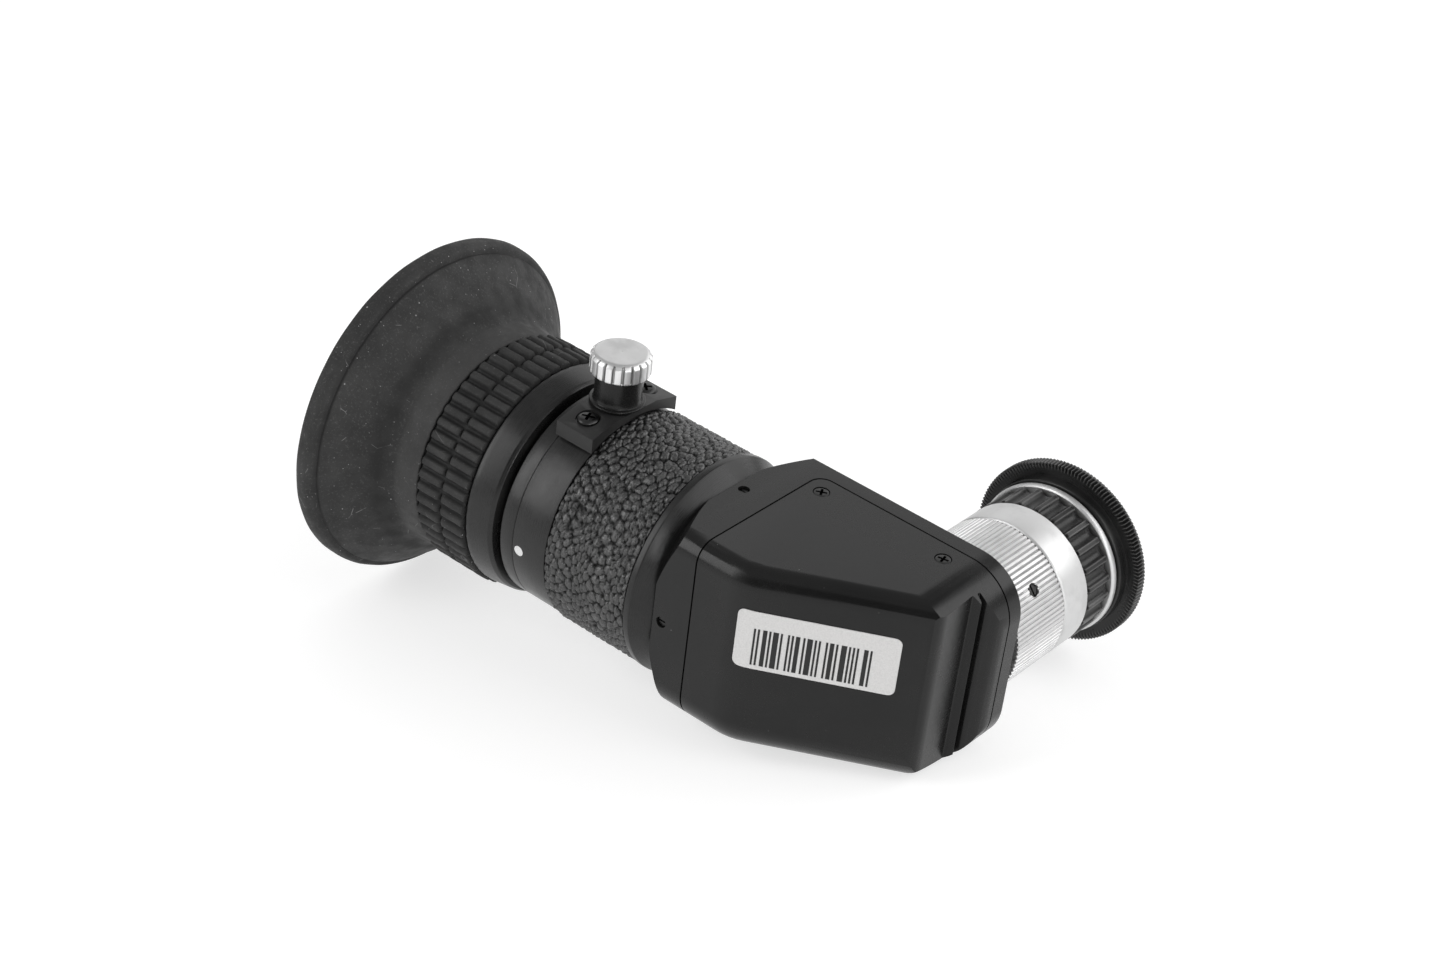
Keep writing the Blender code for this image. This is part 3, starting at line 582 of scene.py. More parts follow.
def make_eyecup():
    """A flared rubber cup with a beaded rim, pressed a little flat where it stands on the table."""
    outer = [
        (-85.6, 18.9, 0.1), (-85.6, 20.7, 0.3), (-90.3, 21.3, 0.8), (-91.9, 22.4, 1), (-95.9, 26.6, 2),
        (-99.75, 30.3, 0.25), (-100.15, 30.35, 0.1), (-100.4, 31.3, 0.35), (-101.4, 31.95, 0.5),
        (RIM_X, RIM_RADIUS, 0.5), (-103.9, 31.6, 0.45), (-103.75, 30.5, 0.6),
    ]
    inner = [
        (-102, 29.4, 1.2), (-96.3, 22.8, 2.5), (-92, 18.7, 1.8), (-89.5, 17.8, 0.6),
        (-87.7, 17.8, 0.1), (-87.7, 18.9, 0.1),
    ]
    section = divided(softened(outer + inner, 0.2, 5), 0.6)

    def relief(along, radius, angle):
        flare = step_up(-along, 93.0, 103.0)
        wander = 0.10 * np.sin(3 * angle + 0.6) + 0.07 * np.sin(5 * angle + along * 0.3)
        ripple = 0.03 * np.sin(23 * angle + along) * np.sin(along * 1.9 + 2 * angle)
        # It gives way where it rests on the table, which is towards -Z
        pressed = 0.8 * np.clip(-np.sin(angle), 0, 1) ** 3
        # Painted light lightens the neck, and painted shade darkens the valley beside it and the crease
        # behind the bead
        painted_neck_light = 0.25 * step_up(along, -91.2, -90.2)
        valley = 0.65 * np.exp(-(((along + 92.6) / 1.6) ** 2)) * step_up(radius, 20, 21.5)
        crease = 0.8 * np.exp(-(((along + 99.95) / 0.3) ** 2)) * step_up(radius, 29.5, 30)
        return flare * (0.15 + wander + pressed) - ripple, 1 + painted_neck_light - valley - crease

    lathed("eyecup", "x", section, CUP_RUBBER, turns=256, relief=relief)


def make_grip():
    """Two rows of moulded blocks with rounded valleys, and a groove between the rows."""
    blocks, depth = 54, 0.95
    rows = ((-85, -79.95), (-79.35, -74))
    rise = 0.28
    section = divided(softened(ring(*GRIP, 18.9, 21.5), 0.25, 3), 0.28)
    section = thinned(section, 19.2, 3)

    def relief(along, radius, angle):
        turn = wave(angle, blocks)
        across = 1 - step_up(np.abs(turn - 0.5), 0.2, 0.42)
        lengthwise = np.zeros_like(along)
        for start, end in rows:
            begun = step_up(along, start - rise, start + rise)
            ended = step_up(along, end - rise, end + rise)
            lengthwise = np.maximum(lengthwise, begun * (1 - ended))
        raised = across * lengthwise
        outside = step_up(radius, 20.6, 21.3)
        uneven = 0.04 * np.sin(7 * angle + 1) + 0.03 * np.sin(along * 2.1 + 11 * angle)
        # Between the blocks the height falls to 0, where the rubber's look paints shade
        return outside * (depth * (1 - raised) + uneven + 0.05), 1 - outside * (1 - raised)

    lathed("rubber_grip", "x", section, GRIP_RUBBER, turns=blocks * 12, relief=relief, smooth=60)


def make_focusing_ring():
    section = [
        (-87.4, 16.1), (-87.4, 18.6), (-73.9, 18.6, 0.05), (-73.9, 20.55, 0.05), (-73.55, 20.9, 0.1),
        (-72.9, 20.9, 0.6), (-69, 20.4, 0.1), (-68.3, 20, 0.12), (-68.3, 17.5), (-85.4, 17.5),
        (-85.4, 16.1),
    ]
    turned("focusing_ring", "x", section, ANODISED_X, 0.1, turns=160)


def make_eyepiece():
    tube = [
        (-89.2, 14), (-89.2, 17.2), (-87.9, 17.2), (-87.9, 15.9), (-60, 15.9), (-60, 12.6),
        (-72.2, 12.6), (-72.2, 14),
    ]
    turned("eyepiece_tube", "x", tube, ANODISED_X, 0.2)
    # The eye lens, with both faces domed
    dome = [(-86.8 + 0.0118 * r * r, r) for r in np.linspace(0, 13.5, 16)]
    back = [(-81.0 - 0.0069 * r * r, r) for r in np.linspace(13.5, 0, 12)]
    section = np.array([*dome, (-84.4, 13.7), (-82.3, 13.7), *back])
    lathed("eye_lens", "x", section, GLASS, closed=False)
    retainer = [(-88.8, 12.8), (-88.8, 13.7), (-85, 13.7), (-86, 12.8)]
    turned("eye_lens_retainer", "x", retainer, ANODISED_X, 0.12)


# The barrel

SLEEVE_RADIUS = 19.5
DOT_X, DOT_ANGLE, DOT_RADIUS = -62.64, math.radians(184.2), 0.95
LINE_X, LINE_HALF_WIDTH, LINE_DEPTH = -64.13, 0.12, 0.16
KNOB_X, COLUMN_BORE = -60.5, 3.2
LOCK_SPOT = (KNOB_X, 0, 0)


def make_sleeve():
    top = SLEEVE_RADIUS
    section = [
        (-80, 17.2), (-67, 17.2, 0.05), (-67, top, 0.22), (LINE_X - LINE_HALF_WIDTH, top, 0.02),
        (LINE_X, top - LINE_DEPTH, 0.01), (LINE_X + LINE_HALF_WIDTH, top, 0.02), (-56.85, top),
        (-56.85, 17.9), (-62, 17.9), (-62, 16.2), (-80, 16.2),
    ]
    piece = lathe("index_sleeve_fine", "x", softened(section, 0.12), ANODISED_X, turns=192)
    bored(piece, "z", 12, 30, COLUMN_BORE, LOCK_SPOT)
    smoothed(piece.data, SHARP_ANGLE)
    stands_for(piece, "index_sleeve")
    # The white index dot, a drop of enamel that follows the sleeve's curve
    sides = 32
    shape = bmesh.new()
    rims = []
    for share, rise in ((0, 0.06), (0.8, 0.055), (1, 0), (1, -0.1), (0, -0.1)):
        row = []
        for n in range(sides):
            turn = 2 * math.pi * n / sides
            around = DOT_ANGLE + share * DOT_RADIUS * math.sin(turn) / SLEEVE_RADIUS
            along = DOT_X + share * DOT_RADIUS * math.cos(turn)
            row.append(shape.verts.new(on_axis("x", along, SLEEVE_RADIUS + rise, around)))
        rims.append(row)
    for here, there in zip(rims, rims[1:]):
        joined(shape, here, there)
    dot = from_bmesh("index_dot", shape, MARK)
    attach(dot, "frame")


def pebbles(points, pitch, seed):
    """How high leather grain stands at each point of a sheet, from 0 in its cracks to 1."""
    row_pitch, jitter = 0.86 * pitch, 0.42
    random = np.random.default_rng(seed)
    low, high = points.min(axis=0) - pitch, points.max(axis=0) + pitch
    radius = np.linalg.norm(points[:, 1:], axis=1).max()
    turns = int(2 * math.pi * radius / pitch)
    rows = int((high[0] - low[0]) / row_pitch) + 1
    centres = []
    for row in range(rows):
        for n in range(turns):
            around = (n + 0.5 * (row % 2) + random.uniform(-jitter, jitter)) * 2 * math.pi / turns
            along = low[0] + (row + random.uniform(-jitter, jitter)) * row_pitch
            centres.append((along, radius * math.cos(around), radius * math.sin(around)))
    tree = kdtree.KDTree(len(centres))
    for n, centre in enumerate(centres):
        tree.insert(centre, n)
    tree.balance()
    lifts = random.uniform(0, 1, len(centres))
    heights = np.empty(len(points))
    for n, point in enumerate(points):
        nearest = tree.find_n(Vector(point), 3)
        gap = nearest[1][2] - nearest[0][2]
        corner = nearest[2][2] - nearest[0][2]
        crack = math.exp(-((gap / (0.12 * pitch)) ** 2))
        own = 0.2 * lifts[nearest[0][1]]
        dome = 0.5 * (nearest[0][2] / (0.6 * pitch)) ** 2
        deep = 0.7 * crack + 0.3 * math.exp(-((corner / (0.28 * pitch)) ** 2))
        heights[n] = max(0, 1 - own - dome - deep)
    return heights


def make_leather():
    """Leatherette wrapped round the barrel, its grain standing up from real cracks."""
    outer, depth, turns, stretch = 20.0, 0.65, 640, 1.55
    section = divided(softened(ring(-56.55, -39.0, 18.9, outer), 0.3, 4), 0.2)
    section = thinned(section, 19.5, 4)

    def relief(along, radius, angle):
        flat = on_axis("x", along.ravel(), np.full(along.size, outer), angle.ravel())
        twist = 0.35 * np.sin(along.ravel() * 0.9) + 0.3 * np.sin(angle.ravel() * 9)
        flat[:, 0] = stretch * (flat[:, 0] + twist)
        grain = 0.72 * pebbles(flat, 2.0, 11) + 0.28 * pebbles(flat, 0.9, 12)
        grain = grain.reshape(along.shape)
        outside = step_up(radius, 19.3, 19.9)
        return outside * depth * (1 - grain), 1 - outside * (1 - grain)

    lathed("leather_wrap", "x", section, LEATHER, turns=turns, relief=relief, smooth=180)


def make_end_ring():
    section = [
        (-38.7, 14.9), (-38.7, 20, 0.12), (-37.6, 20, 0.12), (-36.4, 19, 0.2), (-34.4, 17.4, 0.1),
        (-34.4, 14.9),
    ]
    turned("barrel_end_ring", "x", section, ANODISED_X, turns=160)


# The lock

SCREW_Y = 7.15
KNOB_FLUTES = 20


def cross_cut(piece, centre, low, high, half, width, turn):
    """Cuts a cross-head recess along Z into a screw's head."""
    for quarter in (0, 1):
        angle = turn + quarter * math.pi / 2
        shape = extruded(rectangle(-half, half, -width, width), low, high)
        bmesh.ops.rotate(shape, cent=(0, 0, 0), matrix=Matrix.Rotation(angle, 3, "Z"), verts=shape.verts)
        bmesh.ops.translate(shape, vec=(centre[0], centre[1], 0), verts=shape.verts)
        cut(piece, tool(shape))


def make_bracket():
    """A machined saddle with sloping shoulders, held by two pan-head screws."""
    under, half, flat, top, edge = 20.25, 10.5, 5.3, 21.3, 20.0
    reach = math.degrees(math.asin(half / under))
    outline = [
        *arc((0, 0), under, 90 + reach, 90 - reach, 20), (half, edge), (flat, top), (-flat, top),
        (-half, edge),
    ]
    piece = tool(extruded(outline, -64.3, -56.3, "x"))
    bored(piece, "z", 12, 30, COLUMN_BORE, LOCK_SPOT)
    fall = (top - edge) / (half - flat)
    seat = top - (SCREW_Y - flat) * fall - 0.5
    for y in (-SCREW_Y, SCREW_Y):
        bored(piece, "z", 12, 30, 1, (KNOB_X, y, 0))
        bored(piece, "z", seat, 30, 2.1, (KNOB_X, y, 0))
    piece.name = "lock_bracket_fine"
    stands_for(eased(piece, 0.2, SATIN_PAINT), "lock_bracket")
    for side, y in (("near", -SCREW_Y), ("far", SCREW_Y)):
        head = [
            (17.8, 0), (17.8, 0.7), (seat + 0.2, 0.7), (seat + 0.2, 1.85, 0.1), (seat + 0.55, 1.85, 0.3),
            (seat + 0.9, 1.35, 0.5), (seat + 1, 0),
        ]
        section = softened(head, 0.1, 4, closed=False)
        spot = (KNOB_X, y, 0)
        screw = lathe(f"bracket_screw_{side}_fine", "z", section, STEEL, turns=48, closed=False, centre=spot)
        cross_cut(screw, spot, seat + 0.25, seat + 3, 1.15, 0.27, 0.4 if y < 0 else 0.9)
        stands_for(eased(screw, 0.03, STEEL, 1, 50), f"bracket_screw_{side}")


def make_lock():
    column = [
        (17.4, 2), (17.4, 2.9), (21.6, 2.9), (21.6, 4.8), (22, 4.8, 0.15), (22.1, 4.25, 0.1),
        (22.7, 4.1, 0.3), (27.6, 4.1, 0.2), (28.1, 3.8), (28.1, 2),
    ]
    turned("knob_column", "z", column, PAINT, 0.1, turns=96, centre=LOCK_SPOT)
    section = divided(softened([
        (27.2, 4.5, 0.1), (27.2, 4.75, 0.1), (27.5, 5.2, 0.2), (30.3, 5.2, 0.15), (30.75, 4.75, 0.25),
        (31, 4.3, 0.2), (31, 0.02), (29, 0.02), (29, 4.5),
    ], 0.1, 4), 0.45)

    def relief(along, radius, angle):
        turn = wave(angle, KNOB_FLUTES)
        groove = 1 - step_up(np.abs(turn - 0.5), 0.07, 0.17)
        side = step_up(radius, 4.6, 4.95)
        # Painted highlight lightens the lands on the knob's side, and painted shade darkens its grooves
        return 0.6 * groove * side, 1 + side * (0.6 - 1.6 * groove)

    lathed("lock_knob", "z", section, SILVER_Z, turns=KNOB_FLUTES * 16, relief=relief, centre=LOCK_SPOT,
           smooth=FINE_SHARP_ANGLE)


# The prism housing

HALF_HEIGHT = 18.0
BASE_X, SEAM_X = -34.1, -26.6
NEAR_Y, BEND_X = -18.0, -17.0
SLANT = math.radians(30)
END_X, SEAM_Y, BASE_Y = 13.5, 12.9, 16.0
END_ROUND, EDGE_ROUND, LOWER_ROUND, BEND_REACH, WALL = 9.0, 3.4, 6.5, 3.0, 1.6
CORNER = (9.4, NEAR_Y + (9.4 - BEND_X) * math.tan(SLANT))
COVER_SCREWS = {"crook": -23.4, "end": 1.5}
COVER_SCREW_Y = 9.2
SEAM_GAP = 0.15
SPIGOT_BORE, CAMERA_BORE = 14.9, 12.0
SET_SCREW_X = -32.3
SET_SCREWS = (("top", "z", 1), ("near", "y", -1), ("bottom", "z", -1))


def far_end(left, inset=0):
    """The housing seen along Y: a block with a rounded far end."""
    half, end, radius = HALF_HEIGHT - inset, END_X - inset, END_ROUND - inset
    lower = arc((end - radius, radius - half), radius, -90, 0, 24)
    upper = arc((end - radius, half - radius), radius, 0, 90, 24)
    return [(left, -half), *lower, *upper, (left, half)]


def pillow(inset=0):
    """A block whose near and slanted faces meet the top and bottom in broad rounds."""
    near = NEAR_Y + inset
    bend = BEND_X - inset * math.tan(SLANT / 2)
    run, beyond = 60, 60
    front = softened([
        (-beyond, near), (bend, near, BEND_REACH), (bend + run, near + run * math.tan(SLANT)),
    ], 0, 4, closed=False)
    plan = [*front.tolist(), (bend + run, beyond), (-beyond, beyond)]
    half = HALF_HEIGHT - inset
    shape = extruded(plan, -half, half)
    for side, radius in ((1, EDGE_ROUND), (-1, LOWER_ROUND)):
        rounded(
            shape, radius - inset, 10,
            lambda middle, way: abs(way.x) > 0.5 and middle.z * side > half - 0.1 and middle.y < 50,
        )
    return shape


def formed(plan, left, far, inset=0):
    """The housing's form over a plan: rounded along the near faces and over the far end."""
    half = HALF_HEIGHT - inset
    piece = tool(extruded(plan, -half - 1, half + 1))
    cut(piece, tool(extruded(far_end(left - 5, inset), -40, far + 9, "y")), "INTERSECT")
    cut(piece, tool(pillow(inset)), "INTERSECT")
    return piece


def room_inside(left, far, inset):
    """The room behind the cover's faces, taken past the seam on both sides."""
    near, end = NEAR_Y + inset, 8.6 + WALL - inset
    plan = [(left - 5, near), (-16.6, near), (end - 1, near + 14), (end, near + 16.9), (end, far + 5)]
    return formed([*plan, (left - 5, far + 5)], left - 5, far + 5, inset)


def corner_round():
    """A cutter for the broad round on the turn's lower corner, which fades out towards the seam."""
    radius, turn_y, fade = 12.0, -2.4, 0.25
    lower = arc((END_X - radius, radius - HALF_HEIGHT), radius, -90, 0, 24)
    outside = [(END_X + 20, radius - HALF_HEIGHT), (END_X + 20, -40), (END_X - radius, -40)]
    shape = extruded([*lower, *outside], -30, 30, "y")
    for vert in shape.verts:
        vert.co.x += fade * (vert.co.y - turn_y)
    return tool(shape)


def make_cover():
    """The cover over the prism, with a ribbed recess down its end."""
    left, far = SEAM_X + SEAM_GAP, SEAM_Y - SEAM_GAP
    # Round the end of the slanted face, into a valley, over a rib, into a groove and out to the end
    recess = softened([
        (BEND_X, NEAR_Y), (10, -2.41, 2.2), (9.55, 6.6, 0.25), (11.1, 7.15, 0.2), (10.85, 7.45, 0.15),
        (9.7, 7.6, 0.2), (9.7, 8.3, 0.2), (11.6, 8.5, 0.5), (13, 9.9, 0.8), (END_X, 11.2, 0.8),
        (END_X, far),
    ], 0.3, 6, closed=False)
    plan = [(left, NEAR_Y), *recess.tolist(), (left, far)]
    cover = formed(plan, left, far)
    cut(cover, corner_round())
    cut(cover, room_inside(left, far, WALL))
    corner = 2.4
    turn = arc((left + corner, far - corner), corner, 90, 180, 12)
    outside = [(left - 1, far - corner), (left - 1, far + 1), (left + corner, far + 1), *turn]
    cut_through(cover, outside)
    inner_face = HALF_HEIGHT - WALL
    for sign in (1, -1):
        for x in COVER_SCREWS.values():
            hole = ((-1, 0.95), (0.5, 0.95), (1.1, 1.45), (3, 1.45))
            steps = [(sign * (inner_face + rise), radius) for rise, radius in hole]
            cut(cover, drill("z", steps[::sign], (x, COVER_SCREW_Y, 0)))
    cover.name = "housing_cover_fine"
    stands_for(eased(cover, 0.16, PAINT), "housing_cover")
    for level, sign in (("top", 1), ("bottom", -1)):
        for place, x in COVER_SCREWS.items():
            make_cover_screw(f"cover_screw_{level}_{place}", sign, x)


def make_cover_screw(node, sign, x):
    face = HALF_HEIGHT - 0.05
    spot = (x, COVER_SCREW_Y, 0)
    profile = (
        (5, 0), (5, 0.55), (1.15, 0.55), (0.35, 1.3, 0.05), (0.05, 1.3, 0.05), (0, 0.9, 0.2), (0, 0),
    )
    head = [(sign * (face - depth), *rest) for depth, *rest in profile]
    section = softened(head, 0.05, closed=False)
    screw = lathe(f"{node}_fine", "z", section, STEEL, turns=40, closed=False, centre=spot)
    low, high = sorted((sign * (face - 0.7), sign * (face + 1)))
    cross_cut(screw, spot, low, high, 0.95, 0.22, 0.5 if x < 0 else 0.2)
    stands_for(eased(screw, 0.02, STEEL, 1, 50), node)


def seam_lip(left, far):
    """The lip on the base's edge that reaches behind the cover and keeps light out."""
    reach, root, thick, clearance = 1.5, 0.5, 0.8, 0.06
    lip = room_inside(left, far, WALL + clearance)
    cut(lip, room_inside(left - 1, far + 1, WALL + clearance + thick))
    cut_through(lip, rectangle(left + reach, 40, -40, far - reach))
    cut_through(lip, rectangle(left - root, 40, -40, far + root), "INTERSECT")
    return lip


def make_set_screw(base, node, axis, sign):
    """Drills a hole into the base and puts a slotted grub screw into it."""
    spot = (SET_SCREW_X, 0, 0)
    bored(base, axis, *sorted((sign * 14, sign * 20)), 1.0, spot)
    ends = sorted((sign * 16.3, sign * 17.55))
    section = np.array(rod(*[(along, 0.85) for along in ends]))
    screw = lathe(f"{node}_fine", axis, section, STEEL, turns=32, closed=False, centre=spot)
    slot_ends = sorted((sign * 17.2, sign * 18.5))
    slot = rectangle(SET_SCREW_X - 1, SET_SCREW_X + 1, -0.16, 0.16)
    cut(screw, tool(extruded(slot, *slot_ends, axis)))
    stands_for(eased(screw, 0.03, STEEL, 1, 50), node)


def make_base():
    """The casting round the barrel's spigot, with the wall that the camera tube stands on."""
    crook_start, crook_end = (BASE_X, 9.6), (-31.0, BASE_Y)
    plan = [
        (BASE_X, NEAR_Y), (BEND_X, NEAR_Y), CORNER, (END_X, 8.6), (END_X, BASE_Y), (BASE_X, BASE_Y),
    ]
    base = formed(plan, BASE_X, BASE_Y)
    crook = tool(extruded([
        (BASE_X - 1, crook_start[1]), crook_start, crook_end, (crook_end[0], BASE_Y + 1),
        (BASE_X - 1, BASE_Y + 1),
    ], -25, 25))
    bored(crook, "x", BASE_X - 5, BASE_X + 9, 17.2, facets=96)
    cut(base, crook)
    # The corners towards the barrel are turned down to a cone
    corners = np.array([
        (BASE_X - 1, 18.4), (BASE_X, 19.2), (BASE_X + 5, 26), (BASE_X + 5, 40), (BASE_X - 1, 40),
    ])
    cut(base, lathe("cutter", "x", corners, None))
    left, far = SEAM_X - SEAM_GAP, SEAM_Y + SEAM_GAP
    corner = 2.6
    quarter = arc((left + corner, far - corner), corner, 90, 180, 12)
    room = [(left, -40), (40, -40), (40, far), *quarter]
    cut_through(base, room)
    cut(base, seam_lip(left, far), "UNION")
    bored(base, "x", -40, -20, SPIGOT_BORE, facets=96)
    bored(base, "y", 10, 20, CAMERA_BORE, facets=96)
    for side, axis, sign in SET_SCREWS:
        make_set_screw(base, f"barrel_set_screw_{side}", axis, sign)
    base.name = "housing_base_fine"
    stands_for(eased(base, 0.16, PAINT), "housing_base")


def make_label():
    """A paper sticker on the slanted face, with a generic pattern of bars."""
    width, height, thick, radius, glue = 26.3, 11.1, 0.12, 1.2, 0.04
    offset, bottom = -0.3, 0.2
    lap, bend_radius = BEND_REACH - offset, BEND_REACH / math.tan(SLANT / 2)
    outline = []
    for n, centre in enumerate(rectangle(width - radius, radius, height - radius, radius)):
        outline += arc(centre, radius, 90 * n, 90 * (n + 1), 8)
    along = Vector((math.cos(SLANT), math.sin(SLANT), 0))
    outward = Vector((math.sin(SLANT), -math.cos(SLANT), 0))
    place = Matrix((along, (0, 0, 1), outward)).transposed().to_4x4()
    place.translation = Vector((BEND_X, NEAR_Y, bottom)) + along * offset + outward * glue
    shape = extruded(outline, 0, thick)
    # Its first few millimetres lap onto the bend and follow it
    for u in np.arange(0.5, lap, 0.5):
        everything = [*shape.verts, *shape.edges, *shape.faces]
        bmesh.ops.bisect_plane(shape, geom=everything, plane_co=(u, 0, 0), plane_no=(1, 0, 0))
    for vert in shape.verts:
        vert.co.z -= max(0, lap - vert.co.x) ** 2 / (2 * bend_radius)
    bmesh.ops.transform(shape, matrix=place, verts=shape.verts)
    stands_for(from_bmesh("paper_label_fine", shape, PAPER), "paper_label")
    # The bars: a repeating count of wide and narrow ones, which spells nothing
    bars = bmesh.new()
    start, end, low, high = 2.9, 23.1, 0.8, 7.9
    widths, gaps = (0.34, 0.34, 0.7, 0.34, 0.9, 0.34), (0.3, 0.5, 0.3, 0.3, 0.3, 0.8, 0.3)
    u, n = start, 0
    while u + widths[n % len(widths)] < end:
        wide = widths[n % len(widths)]
        ends = []
        for level in (thick - 0.03, thick + 0.02):
            points = [place @ Vector((x, y, level)) for x, y in rectangle(u, u + wide, low, high)]
            ends.append([bars.verts.new(point) for point in points])
            bars.faces.new(ends[-1])
        joined(bars, *ends)
        u += wide + gaps[n % len(gaps)]
        n += 1
    piece = from_bmesh("label_bars", bars, INK)
    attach(piece, "frame")


# The camera side

COLLAR_SCREW_Y, COLLAR_SCREW_TURN = 25.2, math.radians(48.7)
COLLAR_RIBS, LOCK_RING_FLUTES, FLANGE_TEETH = 94, 24, 150


def ribs(count, depth, land, slope, inner, outer, painted_tip_highlight=0):
    """A relief of straight ribs round a piece, on its surface beyond the outer radius.

    Its valleys read low, where the looks paint shade, and its tips read up to 1 plus its last argument,
    where the looks paint a highlight.
    """

    def relief(along, radius, angle):
        off_centre = np.abs(wave(angle, count) - 0.5) * 2
        outside = step_up(radius, inner, outer)
        valley = step_up(off_centre, land, land + slope) * outside
        return depth * valley, 1 - valley + painted_tip_highlight * (1 - step_up(off_centre, 0, land + 0.1)) * outside

    return relief


def placed_rod(name, place, start, end, radius, look):
    """A plain round rod or cutter along a place's own Z axis."""
    shape = bmesh.new()
    bmesh.ops.create_cone(shape, cap_ends=True, segments=40, radius1=radius, radius2=radius,
                          depth=end - start)
    lift = Matrix.Translation((0, 0, (start + end) / 2))
    bmesh.ops.transform(shape, matrix=place @ lift, verts=shape.verts)
    return from_bmesh(name, shape, look)


def make_collar():
    """The camera tube, and the knurled collar on it with a slotted screw in its hole."""
    tube = [
        (13.2, 11.7), (16.3, 11.7), (16.3, 12.3), (17.9, 12.3), (17.9, 11.2), (31, 11.2), (31, 9.6),
        (21.7, 9.6), (21.7, 10.2), (13.2, 10.2),
    ]
    turned("camera_tube", "y", tube, ANODISED_Y, 0.1)
    section = divided(softened([
        (18.2, 11.5), (18.2, 13.2, 0.12), (31.5, 13.2, 0.12), (31.5, 11.5),
    ], 0.1, 2), 2.2)
    # Painted shade darkens the valleys between the ribs
    ribbed = lathe("knurled_collar_fine", "y", section, SILVER_Y, turns=COLLAR_RIBS * 8,
                   relief=ribs(COLLAR_RIBS, 0.26, 0.5, 0.35, 12.6, 12.9), smooth=FINE_SHARP_ANGLE)
    place = Matrix.Translation((0, COLLAR_SCREW_Y, 0)) @ Matrix.Rotation(COLLAR_SCREW_TURN, 4, "Y")
    cut(ribbed, placed_rod("cutter", place, 11, 15, 1.2, None))
    smoothed(ribbed.data, FINE_SHARP_ANGLE)
    stands_for(ribbed, "knurled_collar")
    plug = placed_rod("detent_screw_fine", place, 12.0, 12.8, 0.95, STEEL)
    slot = extruded(rectangle(-1.2, 1.2, -0.17, 0.17), 12.4, 14)
    bmesh.ops.transform(slot, matrix=place, verts=slot.verts)
    cut(plug, tool(slot))
    stands_for(eased(plug, 0.03, STEEL, 1, 50), "detent_screw")


def make_adapter():
    sleeve = [
        (19.5, 8.2), (19.5, 8.6), (21.9, 8.6), (21.9, 9.25), (31.8, 9.25), (31.8, 12.9, 0.1),
        (32.1, 13.2, 0.1), (38.3, 13.2, 0.1), (38.6, 12.9, 0.1), (38.6, 10.2), (49.4, 10.2), (49.4, 9.7),
        (50.4, 9.7), (50.4, 10.2), (51, 10.2), (51, 8.2),
    ]
    turned("adapter_sleeve", "y", sleeve, SILVER_Y, 0.1, turns=160)
    washer = [
        (45.2, 10.5), (45.2, 13.4, 0.1), (45.5, 13.75, 0.15), (46.3, 13.75, 0.15), (46.6, 13.4, 0.1),
        (46.6, 10.5),
    ]
    turned("silver_washer", "y", washer, SILVER_Y, 0.1, turns=160)
    front = [(22.8 + 0.0128 * r * r, r) for r in np.linspace(0, 7.7, 12)]
    back = [(27.0 - 0.0128 * r * r, r) for r in np.linspace(7.7, 0, 12)]
    section = np.array([*front, (23.7, 7.9), (26.1, 7.9), *back])
    lathed("objective_lens", "y", section, GLASS, closed=False)
    turned("objective_retainer", "y", ring(26.8, 28.4, 7.1, 7.9), BRASS, 0.08)


def make_lock_ring():
    """A black ring with lands between hollow flutes, with painted shade in the flutes and a painted
    highlight along the lands' edges.
    """
    section = divided(softened(ring(38.9, 44.9, 10.5, 13.3), 0.25, 3), 1.2)

    def relief(along, radius, angle):
        off_centre = np.abs(wave(angle, LOCK_RING_FLUTES) - 0.5) * 2
        outside = step_up(radius, 12.2, 13.0)
        flute = np.sqrt(np.clip(1 - (off_centre / 0.72) ** 2, 0, 1)) * outside
        edge = step_up(off_centre, 0.66, 0.74) * (1 - step_up(off_centre, 0.76, 0.9)) * outside
        # Painted shade darkens the flutes, and a painted highlight lightens the lands' edges
        return 0.8 * flute, 1 - 0.6 * flute + 0.7 * edge

    lathed("fluted_lock_ring", "y", section, ANODISED_Y, turns=LOCK_RING_FLUTES * 16, relief=relief,
           smooth=32)


def make_flange():
    """The knurled flange, its hub and the short thread behind it."""
    pitch = 0.42
    thread = []
    for n in range(6):
        y = 52.0 + pitch * n
        thread += [(y, 10.65, 0.02), (y + pitch / 2, 10.9, 0.05)]
    section = [
        (46.9, 10.5), (46.9, 13.8, 0.1), (47.1, 14, 0.1), (48.3, 14.05, 0.1), (48.9, 14.15, 0.1),
        (48.8, 16.25, 0.03), (48.72, 16.6, 0.06), (50.7, 16.6, 0.1), (51.5, 15.9, 0.1), (51.5, 10.65),
        *thread, (54.55, 10.7), (54.7, 10.5), (54.7, 9), (51.3, 9), (51.3, 10.5), (50.5, 10.5),
        (50.5, 11.2), (49.3, 11.2), (49.3, 10.5),
    ]
    rim = divided(softened(section, 0.1, 2), 1.4)
    # Painted highlight lightens the teeth's tips, and painted shade darkens the valleys between them
    teeth = ribs(FLANGE_TEETH, 0.6, 0, 1, 15.7, 16.2, 1.2)
    lathed("camera_flange", "y", rim, ANODISED_Y, turns=FLANGE_TEETH * 6, relief=teeth,
           smooth=FINE_SHARP_ANGLE)
    turned("flange_circlip", "y", ring(49.6, 50.2, 9.95, 10.95), BRIGHT_STEEL, 0.1)


def dress_cad_nodes():
    """The hidden pieces keep their CAD shapes and take the procedural material of their slot."""
    for name, node in frame["nodes"].items():
        node.data.materials.clear()
        node.data.materials.append(SLOT_LOOKS[SLOTS[name]])


# Light and camera


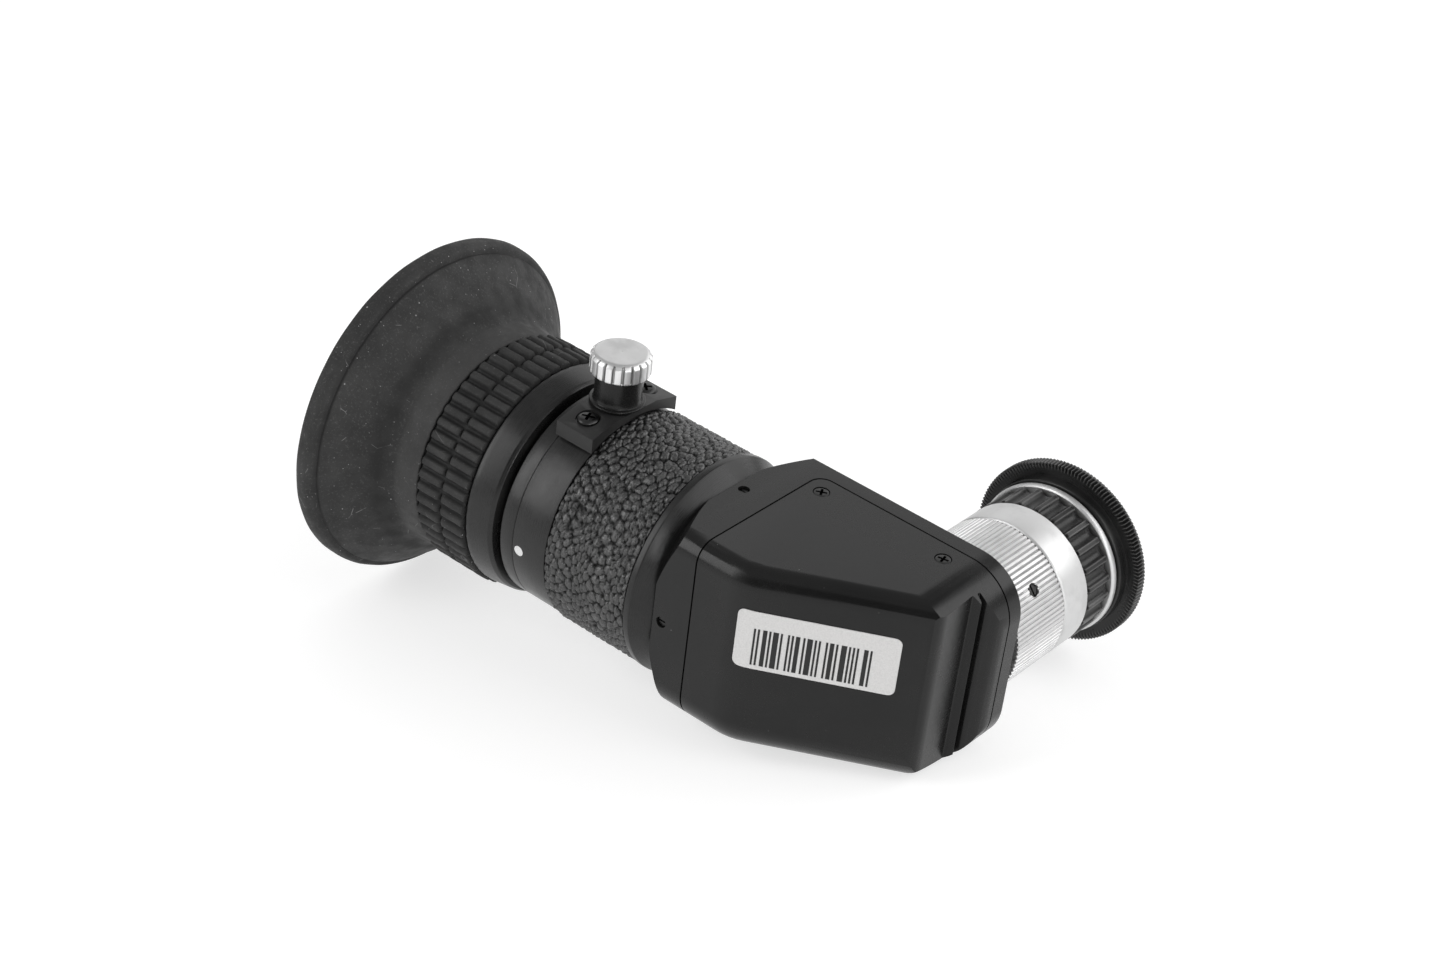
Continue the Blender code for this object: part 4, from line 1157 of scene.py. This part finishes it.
def floor_look():
    """A pale matt sheet, lit a little from within as a light table is."""
    colour = grey(0.5)
    look = Look("pale_floor", colour, Roughness=0.9, Emission_Color=(1, 1, 1, 1), Emission_Strength=0.62)
    tone = look.spread(look.noise(60, 2), 0.3, 0.7)
    look.drive("Base Color", look.mix(tone, colour, shade(colour, 0.985)))
    return look.material


def make_floor():
    half = 4
    mesh = bpy.data.meshes.new("floor")
    mesh.from_pydata([(x, y, 0) for x, y in rectangle(-half, half, -half, half)], [], [(0, 1, 2, 3)])
    floor = in_scene("floor", mesh)
    mesh.materials.append(floor_look())


def softbox(name, place, size, power):
    """A rectangular light that the camera doesn't see, aimed at the object."""
    target = Vector((0, 0, 0.02))
    data = bpy.data.lights.new(name, "AREA")
    data.shape = "RECTANGLE"
    data.size, data.size_y = size
    data.energy = power
    light = in_scene(name, data)
    light.location = place
    light.visible_camera = False
    light.rotation_euler = (target - Vector(place)).to_track_quat("-Z", "Y").to_euler()


def make_light():
    world = bpy.data.worlds.new("studio")
    world.use_nodes = True
    nodes, links = world.node_tree.nodes, world.node_tree.links
    # The room is dim where no softbox stands, low down in front of the table
    toward = nodes.new("ShaderNodeVectorMath")
    toward.operation = "DOT_PRODUCT"
    toward.inputs[1].default_value = Vector((0.45, -0.84, 0.28)).normalized()
    links.new(nodes.new("ShaderNodeTexCoord").outputs["Generated"], toward.inputs[0])
    fade = smooth_range(nodes, 0.8, 0.93, 0.45, 0.02)
    links.new(toward.outputs["Value"], fade.inputs["Value"])
    background = nodes["Background"]
    background.inputs["Color"].default_value = (1, 1, 1, 1)
    links.new(fade.outputs["Result"], background.inputs["Strength"])
    bpy.context.scene.world = world
    softbox("left", (-0.52, -0.79, 0.57), (0.45, 0.9), 5.2)
    softbox("front", (0.89, -0.58, 0.33), (0.3, 0.35), 3.2)
    softbox("right", (0.97, 0.56, 0.75), (1.5, 0.8), 9)
    softbox("back", (0.12, 1.35, 0.6), (0.9, 0.7), 3)
    softbox("back_left", (-0.85, 1, 0.75), (1.4, 0.9), 3)
    bpy.context.scene.view_settings.view_transform = "Standard"


def make_camera():
    """A long lens that looks down over the end of the housing."""
    data = bpy.data.cameras.new("camera")
    data.sensor_width, data.lens = 36.0, 70.13
    data.clip_start = 0.01
    camera = in_scene("camera", data)
    camera.location = (0.26916, -0.32064, 0.26228)
    look_at = Vector((-0.56136, 0.67245, -0.48238)).to_track_quat("-Z", "Y")
    roll = Quaternion((0, 0, 1), math.radians(0.397))
    camera.rotation_mode = "QUATERNION"
    camera.rotation_quaternion = look_at @ roll
    bpy.context.scene.camera = camera


make_camera()
make_light()
make_floor()
dress_cad_nodes()
make_eyecup()
make_grip()
make_focusing_ring()
make_eyepiece()
make_sleeve()
make_leather()
make_end_ring()
make_bracket()
make_lock()
make_cover()
make_base()
make_label()
make_collar()
make_adapter()
make_lock_ring()
make_flange()
